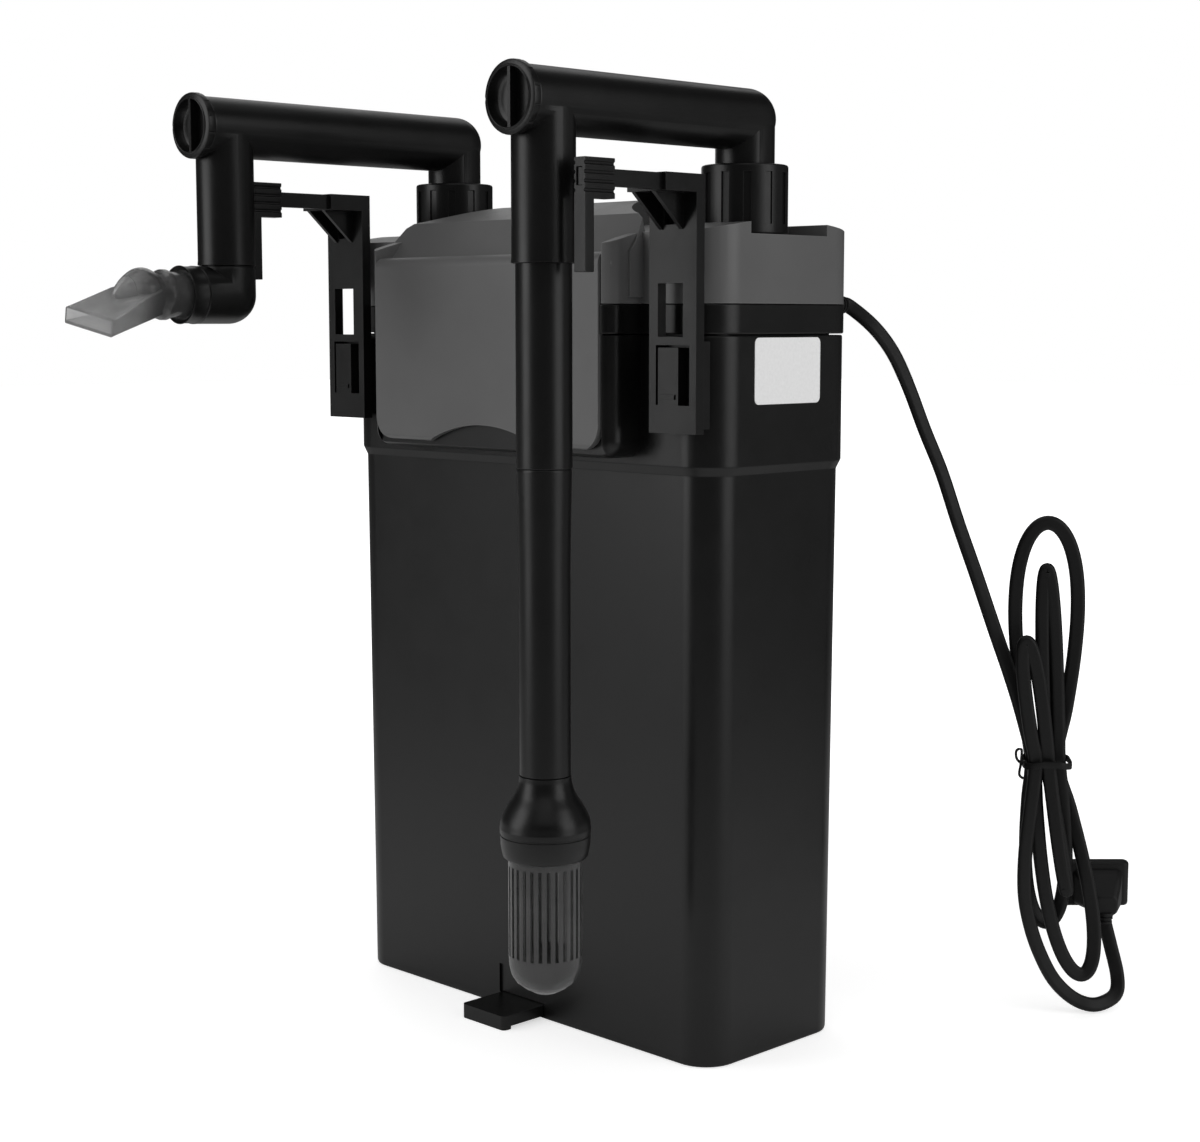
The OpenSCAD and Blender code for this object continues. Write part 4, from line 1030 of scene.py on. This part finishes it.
def plug_blades():
    """Flat blades with chamfered tips and a small locating hole."""
    pair = None
    for side in (-1, 1):
        x = side * 6.35
        outline = [(6.2, -3.1), (24.6, -3.1), (26.9, -1.9), (26.9, 1.9), (24.6, 3.1), (6.2, 3.1)]
        blade = prism(outline, "X", x - 0.75, x + 0.75)
        cut(blade, bar((x - 2, 22.5, 0), (x + 2, 22.5, 0), 1.5, 32))
        pair = fuse(pair, blade) if pair else blade
    soften(pair, 0.22, 2)
    return finish(at_plug(pair), "plug_blade_pair", "plug_blades")


def cable_gland():
    """Ribbed rubber sleeve where the lead leaves the head."""
    low, high = corners("cable_gland")
    x, z = (low.x + high.x) / 2, (low.z + high.z) / 2
    outside = 50.1 - low.y
    collars = [(4.0, -8.6), (4.9, -8.5), (4.9, -6.7), (4.0, -6.6), (4.0, 0), (5.2, 0.1), (5.2, 1.7),
               (4.3, 2.0)]
    line = [(2.95, 0), (4.0, 0)] + [(r, outside + along) for r, along in collars]
    h = outside + 2.4
    while h < high.y - low.y - 1.2:
        line += [(3.7, h), (3.7, h + 0.5), (4.1, h + 0.7), (4.1, h + 1.3)]
        h += 1.6
    line += [(3.6, high.y - low.y), (2.95, high.y - low.y)]
    sleeve = lathe("gland", line, (x, low.y, z), Y, closed=True, around=40)
    return finish(sleeve, "lead_sleeve", "cable_gland")


barrel()
spacer_foot()
rating_plate()
head_cover()
latch("front_flap_moulding", "front_latch", -1)
latch("rear_flap_moulding", "rear_latch", 1)
head_rim()
INTAKE_Y = centre("intake_mid_tube").y
over_pipe("intake_arm_pipe", "intake_pipe", 353.8, INTAKE_Y, corners("intake_pipe")[0].y)
OUTLET_Y = JOINT_AT["outlet_bend_swivel"].y
over_pipe("outlet_arm_pipe", "outlet_pipe", 356.0, OUTLET_Y, corners("outlet_pipe")[0].y)
pipe_cap("intake_end_cap", "intake_cap")
pipe_cap("outlet_end_cap", "outlet_cap")
union_nut("intake_clamp_nut", "intake_union_nut")
union_nut("outlet_clamp_nut", "outlet_union_nut")
turned_tube("intake_middle_pipe", "intake_mid_tube", 1.6)
low_tube()
strainer_neck()
strainer_cage()
outlet_elbow()
nozzle_ring()
nozzle()
hanger("left_hanger_plate", "left_hanger")
hanger("right_hanger_plate", "right_hanger")
hook("left_hook_clamp", "left_hook")
hook("right_hook_clamp", "right_hook")
power_cable()
cable_tie()
cable_gland()
plug_body()
plug_blades()

# ---- camera, floor and light

CAMERA_AT = (741.02, -727.69, 330.79)
CAMERA_DOWN = 6.628
CAMERA_TURN = 45.254
LENS = 64.63


def camera():
    data = bpy.data.cameras.new("camera")
    data.sensor_width = 36.0
    data.lens = LENS
    data.clip_end = 20.0
    obj = bpy.data.objects.new("camera", data)
    bpy.context.scene.collection.objects.link(obj)
    obj.location = Vector(CAMERA_AT) * MM
    obj.rotation_euler = (math.radians(90 - CAMERA_DOWN), 0, math.radians(CAMERA_TURN))
    bpy.context.scene.camera = obj


def area(name, place, target, size, power):
    """White rectangular light that faces a target; places and sizes are in metres."""
    data = bpy.data.lights.new(name, "AREA")
    data.shape = "RECTANGLE"
    data.size, data.size_y = size
    data.energy = power
    obj = bpy.data.objects.new(name, data)
    bpy.context.scene.collection.objects.link(obj)
    obj.location = place
    obj.rotation_euler = (Vector(target) - Vector(place)).to_track_quat("-Z", "Y").to_euler()


def studio_floor():
    """Pale floor that brightens to white away from the object and mirrors darker with distance."""
    half = 9000
    floor = mesh_object("floor", [(-half, -half, 0), (half, -half, 0), (half, half, 0), (-half, half, 0)],
                        [(0, 1, 2, 3)])
    material, tree, shader = new_material("floor")
    coords = add(tree, "ShaderNodeTexCoord").outputs["Object"]
    tone = tint(tree, noise(tree, coords, 3.0), grey(0.72), grey(0.76))
    path = add(tree, "ShaderNodeLightPath")
    away = add(tree, "ShaderNodeVectorMath", {0: coords}, operation="LENGTH").outputs["Value"]
    fall = add(tree, "ShaderNodeMapRange", {"Value": away, "From Min": 0.3, "From Max": 1.0})
    mirrored = tint(tree, fall.outputs["Result"], grey(0.72), grey(0.2))
    tone = tint(tree, path.outputs["Is Glossy Ray"], tone, mirrored)
    tree.links.new(tone, shader.inputs["Base Color"])
    shader.inputs["Roughness"].default_value = 0.8
    shader.inputs["Specular IOR Level"].default_value = 0.1
    lift = add(tree, "ShaderNodeMapRange", {"Value": away, "From Min": 0.15, "From Max": 1.1,
                                            "To Min": 0.6, "To Max": 1.0}, interpolation_type="SMOOTHSTEP")
    seen = add(tree, "ShaderNodeMath", {0: lift.outputs["Result"], 1: path.outputs["Is Camera Ray"]},
               operation="MULTIPLY")
    tree.links.new(seen.outputs[0], shader.inputs["Emission Strength"])
    shader.inputs["Emission Color"].default_value = grey(1.0)
    floor.data.materials.append(material)


def studio_world():
    """White backdrop for the camera, soft grey light for surfaces, almost nothing for mirror rays."""
    world = bpy.data.worlds.new("studio")
    bpy.context.scene.world = world
    world.use_nodes = True
    tree = world.node_tree
    tree.nodes.clear()
    path = add(tree, "ShaderNodeLightPath")
    diffuse = add(tree, "ShaderNodeBackground", {"Color": grey(1.0), "Strength": 0.5})
    glossy = add(tree, "ShaderNodeBackground", {"Color": grey(1.0), "Strength": 0.035})
    backdrop = add(tree, "ShaderNodeBackground", {"Color": grey(1.0), "Strength": 1.0})
    lit = add(tree, "ShaderNodeMixShader", {0: path.outputs["Is Glossy Ray"], 1: diffuse.outputs[0],
                                            2: glossy.outputs[0]})
    through = add(tree, "ShaderNodeMath", {0: path.outputs["Is Camera Ray"],
                                           1: path.outputs["Is Transmission Ray"]}, operation="MAXIMUM")
    mix = add(tree, "ShaderNodeMixShader", {0: through.outputs[0], 1: lit.outputs[0],
                                            2: backdrop.outputs[0]})
    add(tree, "ShaderNodeOutputWorld", {"Surface": mix.outputs[0]})


def studio_lights():
    area("overhead", (0.1, -0.2, 2.0), (0, 0, 0.2), (1.8, 1.8), 5.6)
    area("left_softbox", (-0.78, -1.52, 0.75), (0, 0, 0.22), (1.0, 1.6), 9.5)
    area("right_softbox", (1.62, 0.4, 0.7), (0, 0, 0.22), (1.0, 1.5), 6.5)
    area("front_fill", (1.0, -1.0, 1.35), (0, 0, 0.4), (1.4, 0.7), 1.0)
    area("rear_top", (-0.95, 0.95, 1.6), (0, 0, 0.4), (1.4, 0.8), 2.4)
    area("right_rear_strip", (0.9, 1.5, 0.7), (0, 0, 0.22), (0.8, 1.5), 0.3)
    area("left_rear_strip", (-1.5, 0.9, 0.7), (0, 0, 0.22), (0.8, 1.5), 2.0)


camera()
studio_floor()
studio_world()
studio_lights()
bpy.context.scene.view_settings.view_transform = "Standard"
